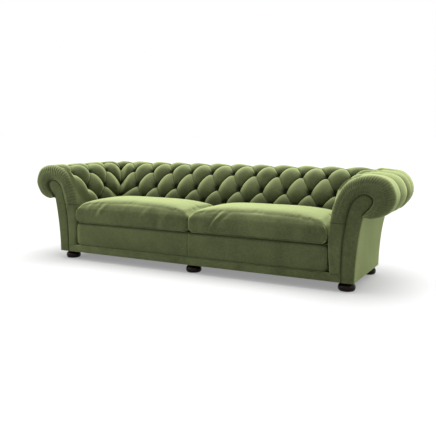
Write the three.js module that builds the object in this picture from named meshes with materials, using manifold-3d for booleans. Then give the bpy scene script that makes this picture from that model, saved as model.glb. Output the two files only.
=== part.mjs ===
import * as THREE from "three";
import { mergeVertices } from "three/addons/utils/BufferGeometryUtils.js";
import Module from "manifold-3d";

const wasm = await Module();
wasm.setup();

// A deep-buttoned chesterfield sofa with scroll arms, two loose seat cushions and six bun feet.
// Millimetres. X runs along the sofa, the front faces -Y and +Z is up.
// While it is modelled, Y is measured from the flat face of the arm facings. The last lines centre it.

// Overall sizes
const seatHalfWidth = 956; // middle of the seat to the face of an arm
const armReach = 386; // face of an arm to the outside of its roll
const armTop = 698; // top of the plain rolls above the floor
const backFace = 495; // facing plane to the face of the back, at the bottom row of buttons
const backReach = 334; // that face to the outside of the back's roll
const backRake = 190; // how far the back leans over its whole height
const panelBottom = 58;
const plinthTop = 110;
const clearance = 0.3; // left between pieces that touch
const weldDistance = 1e-3;
const halvings = 40; // steps of the search for a height on a profile

// Outside faces, as shares of the rolls' reach and of the height above the plinth
const armFootShare = 0.4275;
const armNeckShare = 0.5233; // just under the roll
const backFootShare = 0.3443;
const backNeckShare = 0.53;
const neckHeightShare = 0.575;
const cornerWideShare = 0.777; // plan radius of the rolls' outer corner along X
const cornerDeepShare = 1.108; // and along Y
const profileHeight = armTop - plinthTop;
const armFoot = seatHalfWidth + armReach * armFootShare;
const armNeck = seatHalfWidth + armReach * armNeckShare;
const baseDepth = backFace + backReach * backFootShare;
const backNeck = backFace + backReach * backNeckShare;
const neckHeight = plinthTop + profileHeight * neckHeightShare;
const cornerWide = armReach * cornerWideShare;
const cornerDeep = backReach * cornerDeepShare;

// Deep buttoning. Each level of the profile above the lowest ones carries a row of buttons.
const lowLevelCount = 2;
const rowCount = 4;
const backPitch = 182;
const armPitch = 200;
const firstButtonSetback = 90; // facing plane to the front button of an arm
const columnStep = 0.25; // pitches between two columns of the mesh
const bottomRowLevel = lowLevelCount;
const topRow = rowCount - 1;
const backHalfColumns = Math.round(seatHalfWidth / backPitch); // middle to corner, along the bottom row
const armColumns = Math.round((backFace - firstButtonSetback) / armPitch); // front button to corner
const tuftRise = 18; // crown of a diamond above the plain cover
const channelRise = 9; // crown of the channels that run over the roll
const pleatSink = 5;
const buttonSink = 12;
const tuftedStand = 18; // how far the tufted part of an arm stands before its plain front part
const cornerPull = 20; // how far the sharp inside corner is drawn back

// Padded front of an arm
const gatherBulge = 18; // how far the gathered roll stands before the facing
const bandBulge = 5; // the same on the plain band below it
const gatherRound = 46;
const bandRound = 20;
const grooveRound = 14;
const frontSteps = 3;

// Covered panels
const facingThickness = 12;
const facingBevel = 3;
const panelThickness = 8;
const panelSteps = 9;
const armPanelPower = 2; // the outside arm flares towards the roll with this power of the height
const backPanelPower = 6;
const plinthDepth = 40;
const borderSetback = 2;
const borderBulge = 12;
const borderEndRound = 22;
const borderArmGap = 2;
const seamWidth = 5;
const seamDepth = 4;

// Hardwood frame
const boardThickness = plinthDepth - facingThickness - clearance;
const boardInset = 2;
const railThickness = 22;
const railDrop = 18; // platform to the top of the rails, which leaves room for the springs
const crossRailHalfWidth = 22;
const crossRailDrop = 40; // top of the rails to the top of the cross rail
const blockLeg = 110;
const blockHeight = 70;
const topRailHeight = 56;
const topRailDepth = 26;
const topRailCover = 21.6; // top of the core down to the top rails
const topRailAcrossShare = 0.478; // their near face, of the reach of the roll
const tackRailRise = 15; // foot of the padding to the tack rails
const tackRailHeight = 40;
const tackRailThickness = 25;
const rearBoardLead = 65; // how far the rear arm boards stand before the face of the back
const postShare = 0.366; // place of the back posts, of the seat's half width
const cornerPostInset = 61; // outside of an arm at its foot to the middle of a corner post

// Seat suspension and underside
const springCount = 7;
const springWaves = 6;
const springSwing = 24;
const springRise = 13;
const wireRadius = 2;
const wireSides = 4;
const stepsPerWave = 6;
const platformDrop = 6.6; // foot of the padding down to the platform
const platformThickness = 20.6;
const platformGap = 4; // left before the posts
const dustCoverThickness = 2;
const dustCoverInset = 20;

// Bun feet
const footHeight = panelBottom - clearance;
const footRadius = 54.5;
const footInset = 61; // outside of an arm at its foot to the middle of a foot
const studInset = 9.4; // rails to the middle of a foot
const footSides = 14;
const studRadius = 5;
const studTop = 100;
const holeRadius = studRadius + 2 * clearance;
const holeSides = 6;

// Seat cushions
const cushionGap = 5; // between the two cushions
const cushionArmGap = 5;
const cushionFront = -16;
const cushionBackGap = 48; // left before the face of the back, for its padding
const cushionSeamHeight = 129; // bottom to the top seam
const cushionCrown = 46; // rise from the top seam to the middle
const cushionRound = 24;
const cushionSwell = 8; // how far its borders stand out at mid height
const cushionPullIn = 9; // how far its sides draw in between the corners
const cushionCuts = [18, 9, 4];

// Section of arm and back as shares of reach and height: padding outside (across, height), core
// inside (across, height). Each row is one level, from the seat up the face, over the roll to its neck.
const profileShares = [
  [0.036, 0.0, 0.218, 0.0],
  [0.003, 0.298, 0.225, 0.298],
  [0.021, 0.541, 0.262, 0.493],
  [0.088, 0.721, 0.311, 0.65],
  [0.264, 0.918, 0.381, 0.752],
  [0.606, 1.0, 0.521, 0.813],
  [0.886, 0.952, 0.627, 0.799],
  [1.0, 0.786, 0.674, 0.75],
  [0.896, 0.636, 0.637, 0.685],
  [0.679, 0.578, 0.578, 0.638],
  [0.536, 0.593, 0.534, 0.602],
];
// How much of the corner's radius each level takes: none in the sharp inside corner, all on the roll.
const cornerShares = [0, 0, 0, 0, 0.08, 0.55, 0.95, 1, 0.9, 0.5, 0.25];
const outerLevels = [1, 1.6, 2, 2.5, 3, 3.5, 4, 4.5, 5, 5.6, 6.3, 7, 8, 9, 10];
const innerLevels = [10, 9, 8, 7.5, 7, 6.5, 6, 5.5, 5, 4, 3, 2, 1];
// A bun foot's profile as shares of its radius and height.
const footShares = [
  [0.72, 0],
  [0.9, 0.1],
  [1, 0.38],
  [0.93, 0.64],
  [0.76, 0.79],
  [0.72, 0.84],
  [0.8, 0.9],
  [0.8, 1],
];
// Stations along half of the seat border, as shares of its half length.
const borderShares = [0.05, 0.5, 0.9, 0.96];

// Heights of the seat, from the foot of the padding down
const padFoot = plinthTop + profileHeight * profileShares[1][1];
const platformTop = padFoot - platformDrop;
const platformBottom = platformTop - platformThickness;
const railTop = platformBottom - railDrop;
const crossRailTop = railTop - crossRailDrop;
const cushionBottom = platformTop + clearance;
const cushionSeamTop = cushionBottom + cushionSeamHeight;
const borderTop = cushionBottom;

const velvet = new THREE.MeshStandardMaterial({ color: 0x66713f, roughness: 0.95 });
const beech = new THREE.MeshStandardMaterial({ color: 0xc8a878, roughness: 0.7 });
const darkWood = new THREE.MeshStandardMaterial({ color: 0x1d0f0a, roughness: 0.25 });
const springSteel = new THREE.MeshStandardMaterial({ color: 0x8b8e92, roughness: 0.4, metalness: 1 });
const lining = new THREE.MeshStandardMaterial({ color: 0xcfc6ae, roughness: 0.95 });
const blackCloth = new THREE.MeshStandardMaterial({ color: 0x1b1b1d, roughness: 0.95 });

const xAxis = new THREE.Vector3(1, 0, 0);
const yAxis = new THREE.Vector3(0, 1, 0);
const zAxis = new THREE.Vector3(0, 0, 1);
const sofa = new THREE.Group();

// Mesh helpers

// Merges shared points, drops triangles that have collapsed, and turns the faces outwards.
function closed(geometry) {
  const bare = new THREE.BufferGeometry().setAttribute("position", geometry.getAttribute("position"));
  if (geometry.index) bare.setIndex(geometry.index);
  const merged = mergeVertices(bare, weldDistance);
  const faces = [];
  for (let i = 0; i < merged.index.count; i += 3) {
    const face = [0, 1, 2].map((k) => merged.index.getX(i + k));
    if (new Set(face).size === face.length) faces.push(face);
  }
  if (volumeOf(merged, faces) < 0) faces.forEach((face) => face.reverse());
  return merged.setIndex(faces.flat());
}

function volumeOf(geometry, faces) {
  const [a, b, c] = [0, 1, 2].map(() => new THREE.Vector3());
  const position = geometry.getAttribute("position");
  return faces.reduce((sum, face) => {
    [a, b, c].forEach((corner, k) => corner.fromBufferAttribute(position, face[k]));
    return sum + a.dot(b.cross(c));
  }, 0);
}

function toManifold(geometry) {
  const whole = closed(geometry);
  return new wasm.Manifold(
    new wasm.Mesh({
      numProp: 3,
      vertProperties: whole.getAttribute("position").array,
      triVerts: new Uint32Array(whole.index.array),
    }),
  );
}

function cut(geometry, ...cutters) {
  const start = toManifold(geometry);
  const rest = cutters.reduce((body, cutter) => body.subtract(toManifold(cutter)), start).getMesh();
  return new THREE.BufferGeometry()
    .setAttribute("position", new THREE.BufferAttribute(new Float32Array(rest.vertProperties), 3))
    .setIndex(new THREE.BufferAttribute(rest.triVerts, 1));
}

function add(name, geometry, material) {
  const mesh = new THREE.Mesh(closed(geometry), material.clone());
  mesh.name = name;
  mesh.geometry.computeVertexNormals();
  sofa.add(mesh);
}

// A piece at +X and its mirror image at -X.
function addPair(name, geometry, material) {
  add("right_" + name, geometry, material);
  add("left_" + name, geometry.clone().scale(-1, 1, 1), material);
}

function block([x0, x1], [y0, y1], [z0, z1]) {
  const centre = [x0 + x1, y0 + y1, z0 + z1].map((sum) => sum / 2);
  return new THREE.BoxGeometry(x1 - x0, y1 - y0, z1 - z0).translate(...centre);
}

// A flat outline of (across, height) points made thick along Y, from y0 to y1.
function boardAlongY(outline, [y0, y1], bevel = 0) {
  return extruded(outline, y1 - y0, bevel).rotateX(Math.PI / 2).translate(0, y1, 0);
}

// A flat outline of (y, z) points made thick along X, from x0 to x1.
function boardAlongX(outline, [x0, x1]) {
  const turn = new THREE.Matrix4().makeBasis(yAxis, zAxis, xAxis);
  return extruded(outline, x1 - x0, 0).applyMatrix4(turn).translate(x0, 0, 0);
}

// A flat outline of (x, y) points made thick upwards, from z0 to z1, with round holes.
function sheetAlongZ(outline, [z0, z1], holes, radius) {
  const points = outline.map(([x, y]) => new THREE.Vector2(x, y));
  const shape = new THREE.Shape(THREE.ShapeUtils.isClockWise(points) ? points.toReversed() : points);
  holes.forEach(([x, y]) => shape.holes.push(new THREE.Path().absarc(x, y, radius, 0, 2 * Math.PI, true)));
  const options = { depth: z1 - z0, bevelEnabled: false, curveSegments: holeSides };
  return new THREE.ExtrudeGeometry(shape, options).translate(0, 0, z0);
}

function extruded(outline, depth, bevel) {
  const shape = new THREE.Shape(outline.map(([x, y]) => new THREE.Vector2(x, y)));
  const edge = { bevelSize: bevel, bevelThickness: bevel, bevelOffset: -bevel, bevelSegments: 1 };
  const options = { depth: depth - 2 * bevel, bevelEnabled: bevel > 0, ...edge };
  return new THREE.ExtrudeGeometry(shape, options).translate(0, 0, bevel);
}

// Joins a row of outlines with as many points each. height(i, k) lets each face fold along its lower
// diagonal. caps holds the faces of the two ends, where they aren't simply filled.
function loft(outlines, flatten, height = () => 0, caps = []) {
  const count = outlines[0].length;
  const last = outlines.length - 1;
  const at = (i, k) => i * count + k;
  const faces = [];
  for (let i = 0; i < last; i++)
    for (let k = 0; k < count; k++) {
      const next = (k + 1) % count;
      const [a, b, c, d] = [at(i, k), at(i + 1, k), at(i + 1, next), at(i, next)];
      const straight = height(i, k) + height(i + 1, next);
      const crossed = height(i + 1, k) + height(i, next);
      faces.push(...(straight <= crossed ? [a, b, c, a, c, d] : [a, b, d, b, c, d]));
    }
  const [start, end] = [0, last].map((i, side) => caps[side] ?? filled(outlines[i].map(flatten)));
  faces.push(...start.flat(), ...end.flatMap((face) => face.toReversed().map((k) => at(last, k))));
  const values = outlines.flat().flatMap((point) => point.toArray());
  return new THREE.BufferGeometry()
    .setAttribute("position", new THREE.Float32BufferAttribute(values, 3))
    .setIndex(faces);
}

// Triangles that fill a flat outline and run the same way round as it does.
function filled(flat) {
  const way = THREE.ShapeUtils.area(flat);
  return THREE.ShapeUtils.triangulateShape(flat, []).map((face) => {
    const sameWay = THREE.ShapeUtils.area(face.map((k) => flat[k])) * way > 0;
    return sameWay ? face : face.toReversed();
  });
}

// The section that arms and back share: a face, a roll and a neck under it, round a scroll-shaped core.

function profileCurve(column, face, reach, rake) {
  const bottomRowShare = profileShares[bottomRowLevel][1];
  const points = profileShares.map((row) => {
    const [across, height] = row.slice(column, column + 2);
    const lean = rake * (height - bottomRowShare);
    return new THREE.Vector3(face + reach * across + lean, plinthTop + profileHeight * height, 0);
  });
  return new THREE.CatmullRomCurve3(points, false, "centripetal");
}

const lastLevel = profileShares.length - 1;
const armOuter = profileCurve(0, seatHalfWidth, armReach, 0);
const armInner = profileCurve(2, seatHalfWidth, armReach, 0);
const backOuter = profileCurve(0, backFace, backReach, backRake);
const backInner = profileCurve(2, backFace, backReach, backRake);

// A point of a profile, moved outwards by a puff of the padding: x is across, y is height.
function profilePoint(curve, level, puff = 0) {
  const point = curve.getPoint(level / lastLevel);
  const tangent = curve.getTangent(level / lastLevel);
  return new THREE.Vector2(point.x - tangent.y * puff, point.y + tangent.x * puff);
}

function cornerShareAt(level) {
  const low = Math.min(Math.floor(level), lastLevel - 1);
  return THREE.MathUtils.lerp(cornerShares[low], cornerShares[low + 1], level - low);
}

// Deep buttoning. Buttons stand where two families of slanting pleats cross.

function rowAt(level) {
  return THREE.MathUtils.clamp(level - bottomRowLevel, 0, topRow);
}

function tuft(column, level, plainColumns) {
  const row = rowAt(level);
  const [rising, falling] = [column + row / 2, column - row / 2];
  if (rising < plainColumns) return 0;
  const diamond = Math.sqrt(Math.abs(Math.sin(Math.PI * rising) * Math.sin(Math.PI * falling)));
  const whole = (value) => Math.abs(value - Math.round(value)) < weldDistance;
  const inRows = Math.abs(level - bottomRowLevel - row) < weldDistance;
  const onButton = inRows && whole(row) && whole(rising) && whole(falling);
  return crownAt(level) * diamond - pleatAt(level) - (onButton ? buttonSink : 0);
}

// The tufted part of an arm's face stands before its plain part.
function standAt(level) {
  const topLevel = bottomRowLevel + topRow;
  const low = THREE.MathUtils.smoothstep(level, bottomRowLevel, bottomRowLevel + 1);
  const high = THREE.MathUtils.smoothstep(level, topLevel - 1, topLevel);
  return tuftedStand * low * (1 - high);
}

// The crown fades down to the seat and to low channels over the roll.
function crownAt(level) {
  const topLevel = bottomRowLevel + topRow;
  const belowRows = THREE.MathUtils.smoothstep(level, 1, bottomRowLevel + 1);
  const overRoll = THREE.MathUtils.smoothstep(level, topLevel - 1, topLevel + 1 / 2);
  const neck = 1 - THREE.MathUtils.smoothstep(level, lastLevel - 2, lastLevel);
  return belowRows * neck * THREE.MathUtils.lerp(tuftRise, channelRise, overRoll);
}

function pleatAt(level) {
  return pleatSink * crownAt(level) / tuftRise;
}

// A corner column turns from the arm (0) to the back (a right angle) about the corner's own middle.
function turned(level, puff, angle) {
  const onArm = profilePoint(armOuter, level, puff + standAt(level));
  const onBack = profilePoint(backOuter, level, puff);
  const share = cornerShareAt(level);
  const [wide, deep] = [cornerWide, cornerDeep].map((radius) => radius * share);
  const pull = cornerPull * (1 - share);
  return new THREE.Vector3(
    onArm.x - wide + wide * Math.cos(angle),
    onBack.x - deep + deep * Math.sin(angle) + pull,
    THREE.MathUtils.lerp(onArm.y, onBack.y, Math.sin(angle) ** 2),
  );
}

// Columns near the corner are spread so that the last one lies on the mitre.
function placeOfColumn(column, level, columns, start, pitch, cornerStart) {
  const mitre = columns + rowAt(level) / 2;
  const turnStart = mitre - Math.min(1, 2 * cornerShareAt(level));
  const even = turnStart - 1;
  if (column >= mitre) return { turn: 1 };
  if (column > turnStart) return { turn: (column - turnStart) / (mitre - turnStart) };
  if (column <= even) return { place: start + pitch * column };
  return { place: THREE.MathUtils.lerp(start + pitch * even, cornerStart, column - even) };
}

function armSkin(column, level) {
  const puff = tuft(Math.min(column, armColumns + rowAt(level) / 2), level, 1);
  const corner = turned(level, puff, 0);
  const { turn, place } = placeOfColumn(column, level, armColumns, firstButtonSetback, armPitch, corner.y);
  if (turn !== undefined) return apart(turned(level, puff, turn * Math.PI / 4), turn === 1 ? 1 : 0);
  const stand = standAt(level) * THREE.MathUtils.smoothstep(column + rowAt(level) / 2, 1, 2);
  const point = profilePoint(armOuter, level, puff + stand);
  return new THREE.Vector3(point.x, place, point.y);
}

function backSkin(column, level) {
  const side = column < 0 ? -1 : 1;
  const away = Math.abs(column);
  const puff = tuft(Math.min(away, backHalfColumns + rowAt(level) / 2), level, -Infinity);
  const corner = turned(level, puff, Math.PI / 2);
  const { turn, place } = placeOfColumn(away, level, backHalfColumns, 0, backPitch, corner.x);
  if (turn !== undefined) {
    const point = turned(level, puff, Math.PI / 2 - turn * Math.PI / 4);
    return apart(point, turn === 1 ? -1 : 0).multiply(new THREE.Vector3(side, 1, 1));
  }
  const point = profilePoint(backOuter, level, puff);
  return new THREE.Vector3(side * place, point.x, point.y);
}

// The arm's pad (side 1) and the back's (side -1) stand half a clearance off the mitre.
function apart(point, side) {
  const step = side * clearance / 2 / Math.SQRT2;
  return new THREE.Vector3(point.x + step, point.y - step, point.z);
}

// Padding of the arms and the back

const lerp = THREE.MathUtils.lerp;
const plan = (point) => new THREE.Vector2(point.x, point.y);
const standing = (point) => new THREE.Vector2(Math.abs(point.x) + point.y, point.z);
const armLastColumn = armColumns + topRow / 2;
const backLastColumn = backHalfColumns + topRow / 2;

function columnsBetween(first, last) {
  return Array.from({ length: (last - first) / columnStep + 1 }, (_, i) => first + i * columnStep);
}

// A sharp corner of the core, where the inner lines of arm and back meet.
function coreCorner(level) {
  const onArm = profilePoint(armInner, level);
  return new THREE.Vector3(onArm.x, profilePoint(backInner, level).x, onArm.y);
}

// The padded front of an arm swells before the facing and rolls into the arm through a quarter turn.
function armFront(level, turn) {
  const upper = THREE.MathUtils.smoothstep(level, bottomRowLevel - 1 / 2, bottomRowLevel + 1 / 2);
  const bulge = THREE.MathUtils.lerp(bandBulge, gatherBulge, upper);
  const outer = profilePoint(armOuter, level);
  const inner = profilePoint(armInner, level);
  const thickness = outer.distanceTo(inner);
  const round = Math.min(THREE.MathUtils.lerp(bandRound, gatherRound, upper), thickness * 2 / 5);
  const groove = Math.min(grooveRound, thickness / 4);
  const across = inner.clone().sub(outer).normalize();
  const [inset, depth] = [1 - Math.sin(turn), 1 - Math.cos(turn)];
  const skin = outer.clone().addScaledVector(across, round * inset);
  const core = inner.clone().addScaledVector(across, -groove * inset);
  return {
    skin: new THREE.Vector3(skin.x, round * depth - bulge, skin.y),
    core: new THREE.Vector3(core.x, groove * depth - bulge, core.y),
  };
}

function armPad() {
  const footed = [0, ...outerLevels];
  const footedInner = [...innerLevels, 0];
  const front = Array.from({ length: frontSteps }, (_, i) => Math.PI / 2 * i / (frontSteps - 1));
  const outlines = front.map((turn) => [
    ...footed.map((level) => armFront(level, turn).skin),
    ...footedInner.map((level) => armFront(level, turn).core),
  ]);
  // Behind the plinth the pad stops at the seat, so its foot is only as deep as the plinth.
  const lifted = (level) => Math.max(level, outerLevels[0]);
  for (const lift of [(level) => level, lifted])
    outlines.push([
      ...footed.map((level) => onArmLine(armOuter, lift(level))),
      ...footedInner.map((level) => onArmLine(armInner, lift(level))),
    ]);
  const columns = columnsBetween(0, armLastColumn);
  columns.forEach((column, i) => {
    const share = (i + 1) / columns.length;
    outlines.push([
      ...footed.map((level) => armSkin(column, lifted(level))),
      ...footedInner.map((level) => armCore(share, lifted(level))),
    ]);
  });
  const height = (i, k) => i < front.length + 2 || k >= footed.length ? 0
    : tuft(Math.min(columns[i - front.length - 2], armColumns + rowAt(footed[k]) / 2), footed[k], 1);
  return loft(outlines, standing, height, [undefined, mitreFaces.map((face) => face.map((k) => k + 1))]);
}

function onArmLine(curve, level) {
  const point = profilePoint(curve, level);
  return new THREE.Vector3(point.x, plinthDepth, point.y);
}

function armCore(share, level) {
  const corner = coreCorner(level);
  if (share === 1) return apart(corner, 1);
  return corner.setY(THREE.MathUtils.lerp(plinthDepth, corner.y, share));
}

function backOutline(column) {
  const share = column / backLastColumn;
  const core = innerLevels.map((level) => {
    const corner = coreCorner(level);
    const back = profilePoint(backInner, level);
    if (Math.abs(share) === 1) return apart(corner, -1).multiply(new THREE.Vector3(share, 1, 1));
    return new THREE.Vector3(corner.x * share, back.x, back.y);
  });
  return [...outerLevels.map((level) => backSkin(column, level)), ...core];
}

// The mitre's faces, which the two pads that meet there share, in the order of backOutline.
const mitreFaces = filled(backOutline(backLastColumn).map(standing));

function backPad() {
  const columns = columnsBetween(-backLastColumn, backLastColumn);
  const height = (i, k) => {
    const level = outerLevels[k] ?? 0;
    return tuft(Math.min(Math.abs(columns[i]), backHalfColumns + rowAt(level) / 2), level, -Infinity);
  };
  return loft(columns.map(backOutline), standing, height, [mitreFaces, mitreFaces]);
}

add("inside_back", backPad(), velvet);
addPair("inside_arm", armPad(), velvet);

// Covered panels

function panelShare(height, power) {
  return Math.max(0, (height - panelBottom) / (neckHeight - panelBottom)) ** power;
}

const armPanelX = (height) => lerp(armFoot, armNeck, panelShare(height, armPanelPower));
const backPanelY = (height) => lerp(baseDepth, backNeck, panelShare(height, backPanelPower));
const panelHeights = Array.from({ length: panelSteps + 1 }, (_, i) =>
  lerp(panelBottom, neckHeight, i / panelSteps));

// Outline of a scroll board in (across, height): the core's inner line, and down again inside a flank.
const scrollLevels = innerLevels.toReversed();
function scrollOutline(curve, flank, inset, flankInset, foot) {
  const face = scrollLevels.map((level) => profilePoint(curve, level, -inset)).filter((p) => p.y > foot);
  const start = acrossAt(curve, Math.max(foot, plinthTop)) + inset;
  const outside = panelHeights.filter((height) => height > foot).toReversed();
  return [
    [start, foot],
    ...face.map((p) => [p.x, p.y]),
    ...outside.map((height) => [flank(height) - flankInset, height]),
    [flank(foot) - flankInset, foot],
  ];
}

// How far across a profile stands at a height on its face, found by halving.
function acrossAt(curve, height) {
  let [low, high] = [0, bottomRowLevel + topRow];
  for (let i = 0; i < halvings; i++) {
    const middle = (low + high) / 2;
    if (profilePoint(curve, middle).y < height) low = middle;
    else high = middle;
  }
  return profilePoint(curve, low).x;
}

addPair("arm_facing", boardAlongY(
  scrollOutline(armInner, armPanelX, clearance, 0, panelBottom), [0, facingThickness], facingBevel), velvet);

addPair("outside_arm", loft(panelHeights.map((z) => {
  const [inside, outside] = [armPanelX(z) - panelThickness, armPanelX(z)];
  const [front, rear] = [facingThickness + clearance, backPanelY(z)];
  return [[inside, front], [outside, front], [outside, rear], [inside, rear]]
    .map(([x, y]) => new THREE.Vector3(x, y, z));
}), plan), velvet);

add("outside_back", loft(panelHeights.map((z) => {
  const side = armPanelX(z) - panelThickness - clearance;
  const [inside, outside] = [backPanelY(z) - panelThickness, backPanelY(z)];
  return [[-side, inside], [side, inside], [side, outside], [-side, outside]]
    .map(([x, y]) => new THREE.Vector3(x, y, z));
}), plan), velvet);

const coreFootX = acrossAt(armInner, plinthTop);
const plinthSide = coreFootX - clearance;
add("front_plinth", block([-plinthSide, plinthSide], [0, plinthDepth - clearance],
  [panelBottom, plinthTop - clearance]), velvet);
add("seat_border", seatBorder(), velvet);

// The padded border under the cushions: convex in front and at its ends, with a seam in the middle.
function seatBorder() {
  const halfLength = acrossAt(armOuter, borderTop) - borderArmGap;
  const half = [
    { x: 0, sink: seamDepth, pinch: 0 },
    { x: seamWidth, sink: 0, pinch: 0 },
    ...borderShares.map((share) => ({ x: halfLength * share, sink: 0, pinch: 0 })),
    { x: halfLength, sink: borderBulge, pinch: borderEndRound },
  ];
  const mirrored = half.slice(1).toReversed().map((station) => ({ ...station, x: -station.x }));
  return loft([...mirrored, ...half].map(borderOutline), (p) => new THREE.Vector2(p.y, p.z));
}

function borderOutline({ x, sink, pinch }) {
  const [low, high] = [plinthTop + pinch, borderTop - pinch];
  const quarter = (high - low) / 4;
  const rear = plinthDepth - clearance;
  const front = borderSetback - borderBulge + sink;
  const shoulder = (front + borderSetback) / 2;
  return [
    [rear, low],
    [borderSetback, low],
    [shoulder, low + quarter / 2],
    [front, low + quarter],
    [front, high - quarter],
    [shoulder, high - quarter / 2],
    [borderSetback, high],
    [rear, high],
  ].map(([y, z]) => new THREE.Vector3(x, y, z));
}

// Hardwood frame

const railBottom = panelBottom + dustCoverThickness + clearance;
const innerX = armPanelX(panelBottom) - panelThickness - clearance;
const frontRailY = [plinthDepth + clearance, plinthDepth + clearance + railThickness];
const rearRailY = [railThickness, 0].map((y) => baseDepth - panelThickness - clearance - y);
const betweenRails = [frontRailY[1] + clearance, rearRailY[0] - clearance];
const railZ = [railBottom, railTop];

add("front_rail", block([-innerX, innerX], frontRailY, railZ), beech);
add("rear_rail", block([-innerX, innerX], rearRailY, railZ), beech);
const sideRailX = [innerX - railThickness, innerX];
addPair("side_rail", block(sideRailX, betweenRails, railZ), beech);

const footX = armFoot - footInset;
const footY = [betweenRails[0] + studInset, betweenRails[1] - studInset];
add("cross_rail", sheetAlongZ([
  [-crossRailHalfWidth, betweenRails[0]],
  [crossRailHalfWidth, betweenRails[0]],
  [crossRailHalfWidth, betweenRails[1]],
  [-crossRailHalfWidth, betweenRails[1]],
], [railBottom, crossRailTop], footY.map((y) => [0, y]), holeRadius), beech);

// Corner blocks tie the rails together and take the studs of the feet.
function cornerBlock(cornerY, towardsMiddle) {
  const cornerX = sideRailX[0] - clearance;
  return sheetAlongZ([
    [cornerX, cornerY],
    [cornerX - blockLeg, cornerY],
    [cornerX, cornerY + blockLeg * towardsMiddle],
  ], [railBottom, railBottom + blockHeight], [[footX, towardsMiddle > 0 ? footY[0] : footY[1]]], holeRadius);
}
addPair("front_corner_block", cornerBlock(betweenRails[0], 1), beech);
addPair("rear_corner_block", cornerBlock(betweenRails[1], -1), beech);

const coreTopShare = Math.max(...profileShares.map((row) => row[3]));
const topRailTop = plinthTop + profileHeight * coreTopShare - topRailCover;
const topRailZ = [topRailTop - topRailHeight, topRailTop];
const topRailLean = backRake * ((topRailZ[0] + topRailZ[1]) / 2 - plinthTop) / profileHeight
  - backRake * profileShares[bottomRowLevel][1];
const armTopRailX = [0, topRailDepth].map((x) => x + seatHalfWidth + armReach * topRailAcrossShare);
const backTopRailFront = backFace + backReach * topRailAcrossShare + topRailLean;
const backTopRailY = [backTopRailFront, backTopRailFront + topRailDepth];
const boardY = [facingThickness + clearance, facingThickness + clearance + boardThickness];
const rearBoardY = [backFace - rearBoardLead, backFace - rearBoardLead + boardThickness];
const behindBoard = boardY[1] + clearance;

addPair("arm_top_rail", block(armTopRailX, [behindBoard, backTopRailY[0] - clearance], topRailZ), beech);
add("back_top_rail", block([-armTopRailX[1], armTopRailX[1]], backTopRailY, topRailZ), beech);

const tackRailZ = [0, tackRailHeight].map((z) => z + padFoot + tackRailRise);
const armTackX = acrossAt(armInner, tackRailZ[1]) + boardInset;
const backTackY = acrossAt(backInner, tackRailZ[1]) + boardInset;
const postX = [seatHalfWidth * postShare, armFoot - cornerPostInset];
const postFront = acrossAt(backInner, tackRailZ[0]) + boardInset;
const armTackRail = { x: [armTackX, armTackX + tackRailThickness], y: [behindBoard, postFront - clearance] };
const backTackRail = { y: [backTackY, backTackY + tackRailThickness] };
const backTackEnd = postX.at(-1) + boardThickness / 2;
addPair("arm_tack_rail", block(armTackRail.x, armTackRail.y, tackRailZ), beech);
add("back_tack_rail", block([-backTackEnd, backTackEnd], backTackRail.y, tackRailZ), beech);

// Everything above the underside of a top rail, less the clearance, is cut off the posts under it.
const grown = ([low, high]) => [low - clearance, high + clearance];
const aboveTopRail = block([-armReach - armFoot, armReach + armFoot], [0, baseDepth + armReach],
  [topRailZ[0] - clearance, armTop]);
const boardFlankInset = panelThickness + clearance;

addPair("arm_front_board", boardAlongY(
  scrollOutline(armInner, armPanelX, boardInset, boardFlankInset, railBottom), boardY), beech);
const boardFoot = railTop + clearance;
addPair("arm_rear_board", cut(
  boardAlongY(scrollOutline(armInner, armPanelX, boardInset, boardFlankInset, boardFoot), rearBoardY),
  aboveTopRail,
  block([seatHalfWidth, armTackRail.x[1] + clearance], grown(rearBoardY), grown(tackRailZ)),
), beech);

const backPost = (x) => cut(
  boardAlongX(scrollOutline(backInner, backPanelY, boardInset, boardFlankInset, boardFoot),
    [x - boardThickness / 2, x + boardThickness / 2]),
  aboveTopRail,
  block(grown([x - boardThickness, x + boardThickness]), [backFace, backTackRail.y[1] + clearance],
    grown(tackRailZ)),
);
addPair("back_post", backPost(postX[0]), beech);
addPair("corner_post", backPost(postX[1]), beech);

// Seat springs, platform and dust cover

// A zigzag of wire from the front rail to the rear rail, arched under the platform.
function spring(x) {
  const [front, rear] = [frontRailY, rearRailY].map(([low, high]) => (low + high) / 2);
  const steps = springWaves * stepsPerWave;
  const base = railTop + wireRadius + clearance;
  const points = Array.from({ length: steps + 1 }, (_, i) => {
    const share = i / steps;
    return new THREE.Vector3(
      x + springSwing * Math.sin(2 * Math.PI * springWaves * share),
      lerp(front, rear, share),
      base + springRise * Math.sin(Math.PI * share),
    );
  });
  const wire = new THREE.Shape(Array.from({ length: wireSides }, (_, i) => {
    const angle = 2 * Math.PI * i / wireSides;
    return new THREE.Vector2(wireRadius * Math.cos(angle), wireRadius * Math.sin(angle));
  }));
  return new THREE.ExtrudeGeometry(wire, { steps, extrudePath: new THREE.CatmullRomCurve3(points) });
}
const springSpacing = 2 * seatHalfWidth / springCount;
for (let i = 0; i < springCount; i++)
  add("seat_spring_" + (i + 1), spring(springSpacing * (i - (springCount - 1) / 2)), springSteel);

const platformY = [behindBoard, acrossAt(backInner, railTop) - platformGap];
add("seat_platform", block([-plinthSide, plinthSide], platformY, [platformBottom, platformTop]), lining);

const coverX = armFoot - dustCoverInset;
const coverY = [plinthDepth + clearance, baseDepth - dustCoverInset];
const footPlaces = [-footX, 0, footX].flatMap((x) => footY.map((y) => [x, y]));
add("dust_cover", sheetAlongZ(
  [[-coverX, coverY[0]], [coverX, coverY[0]], [coverX, coverY[1]], [-coverX, coverY[1]]],
  [panelBottom, panelBottom + dustCoverThickness], footPlaces, holeRadius), blackCloth);

// Feet

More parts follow.
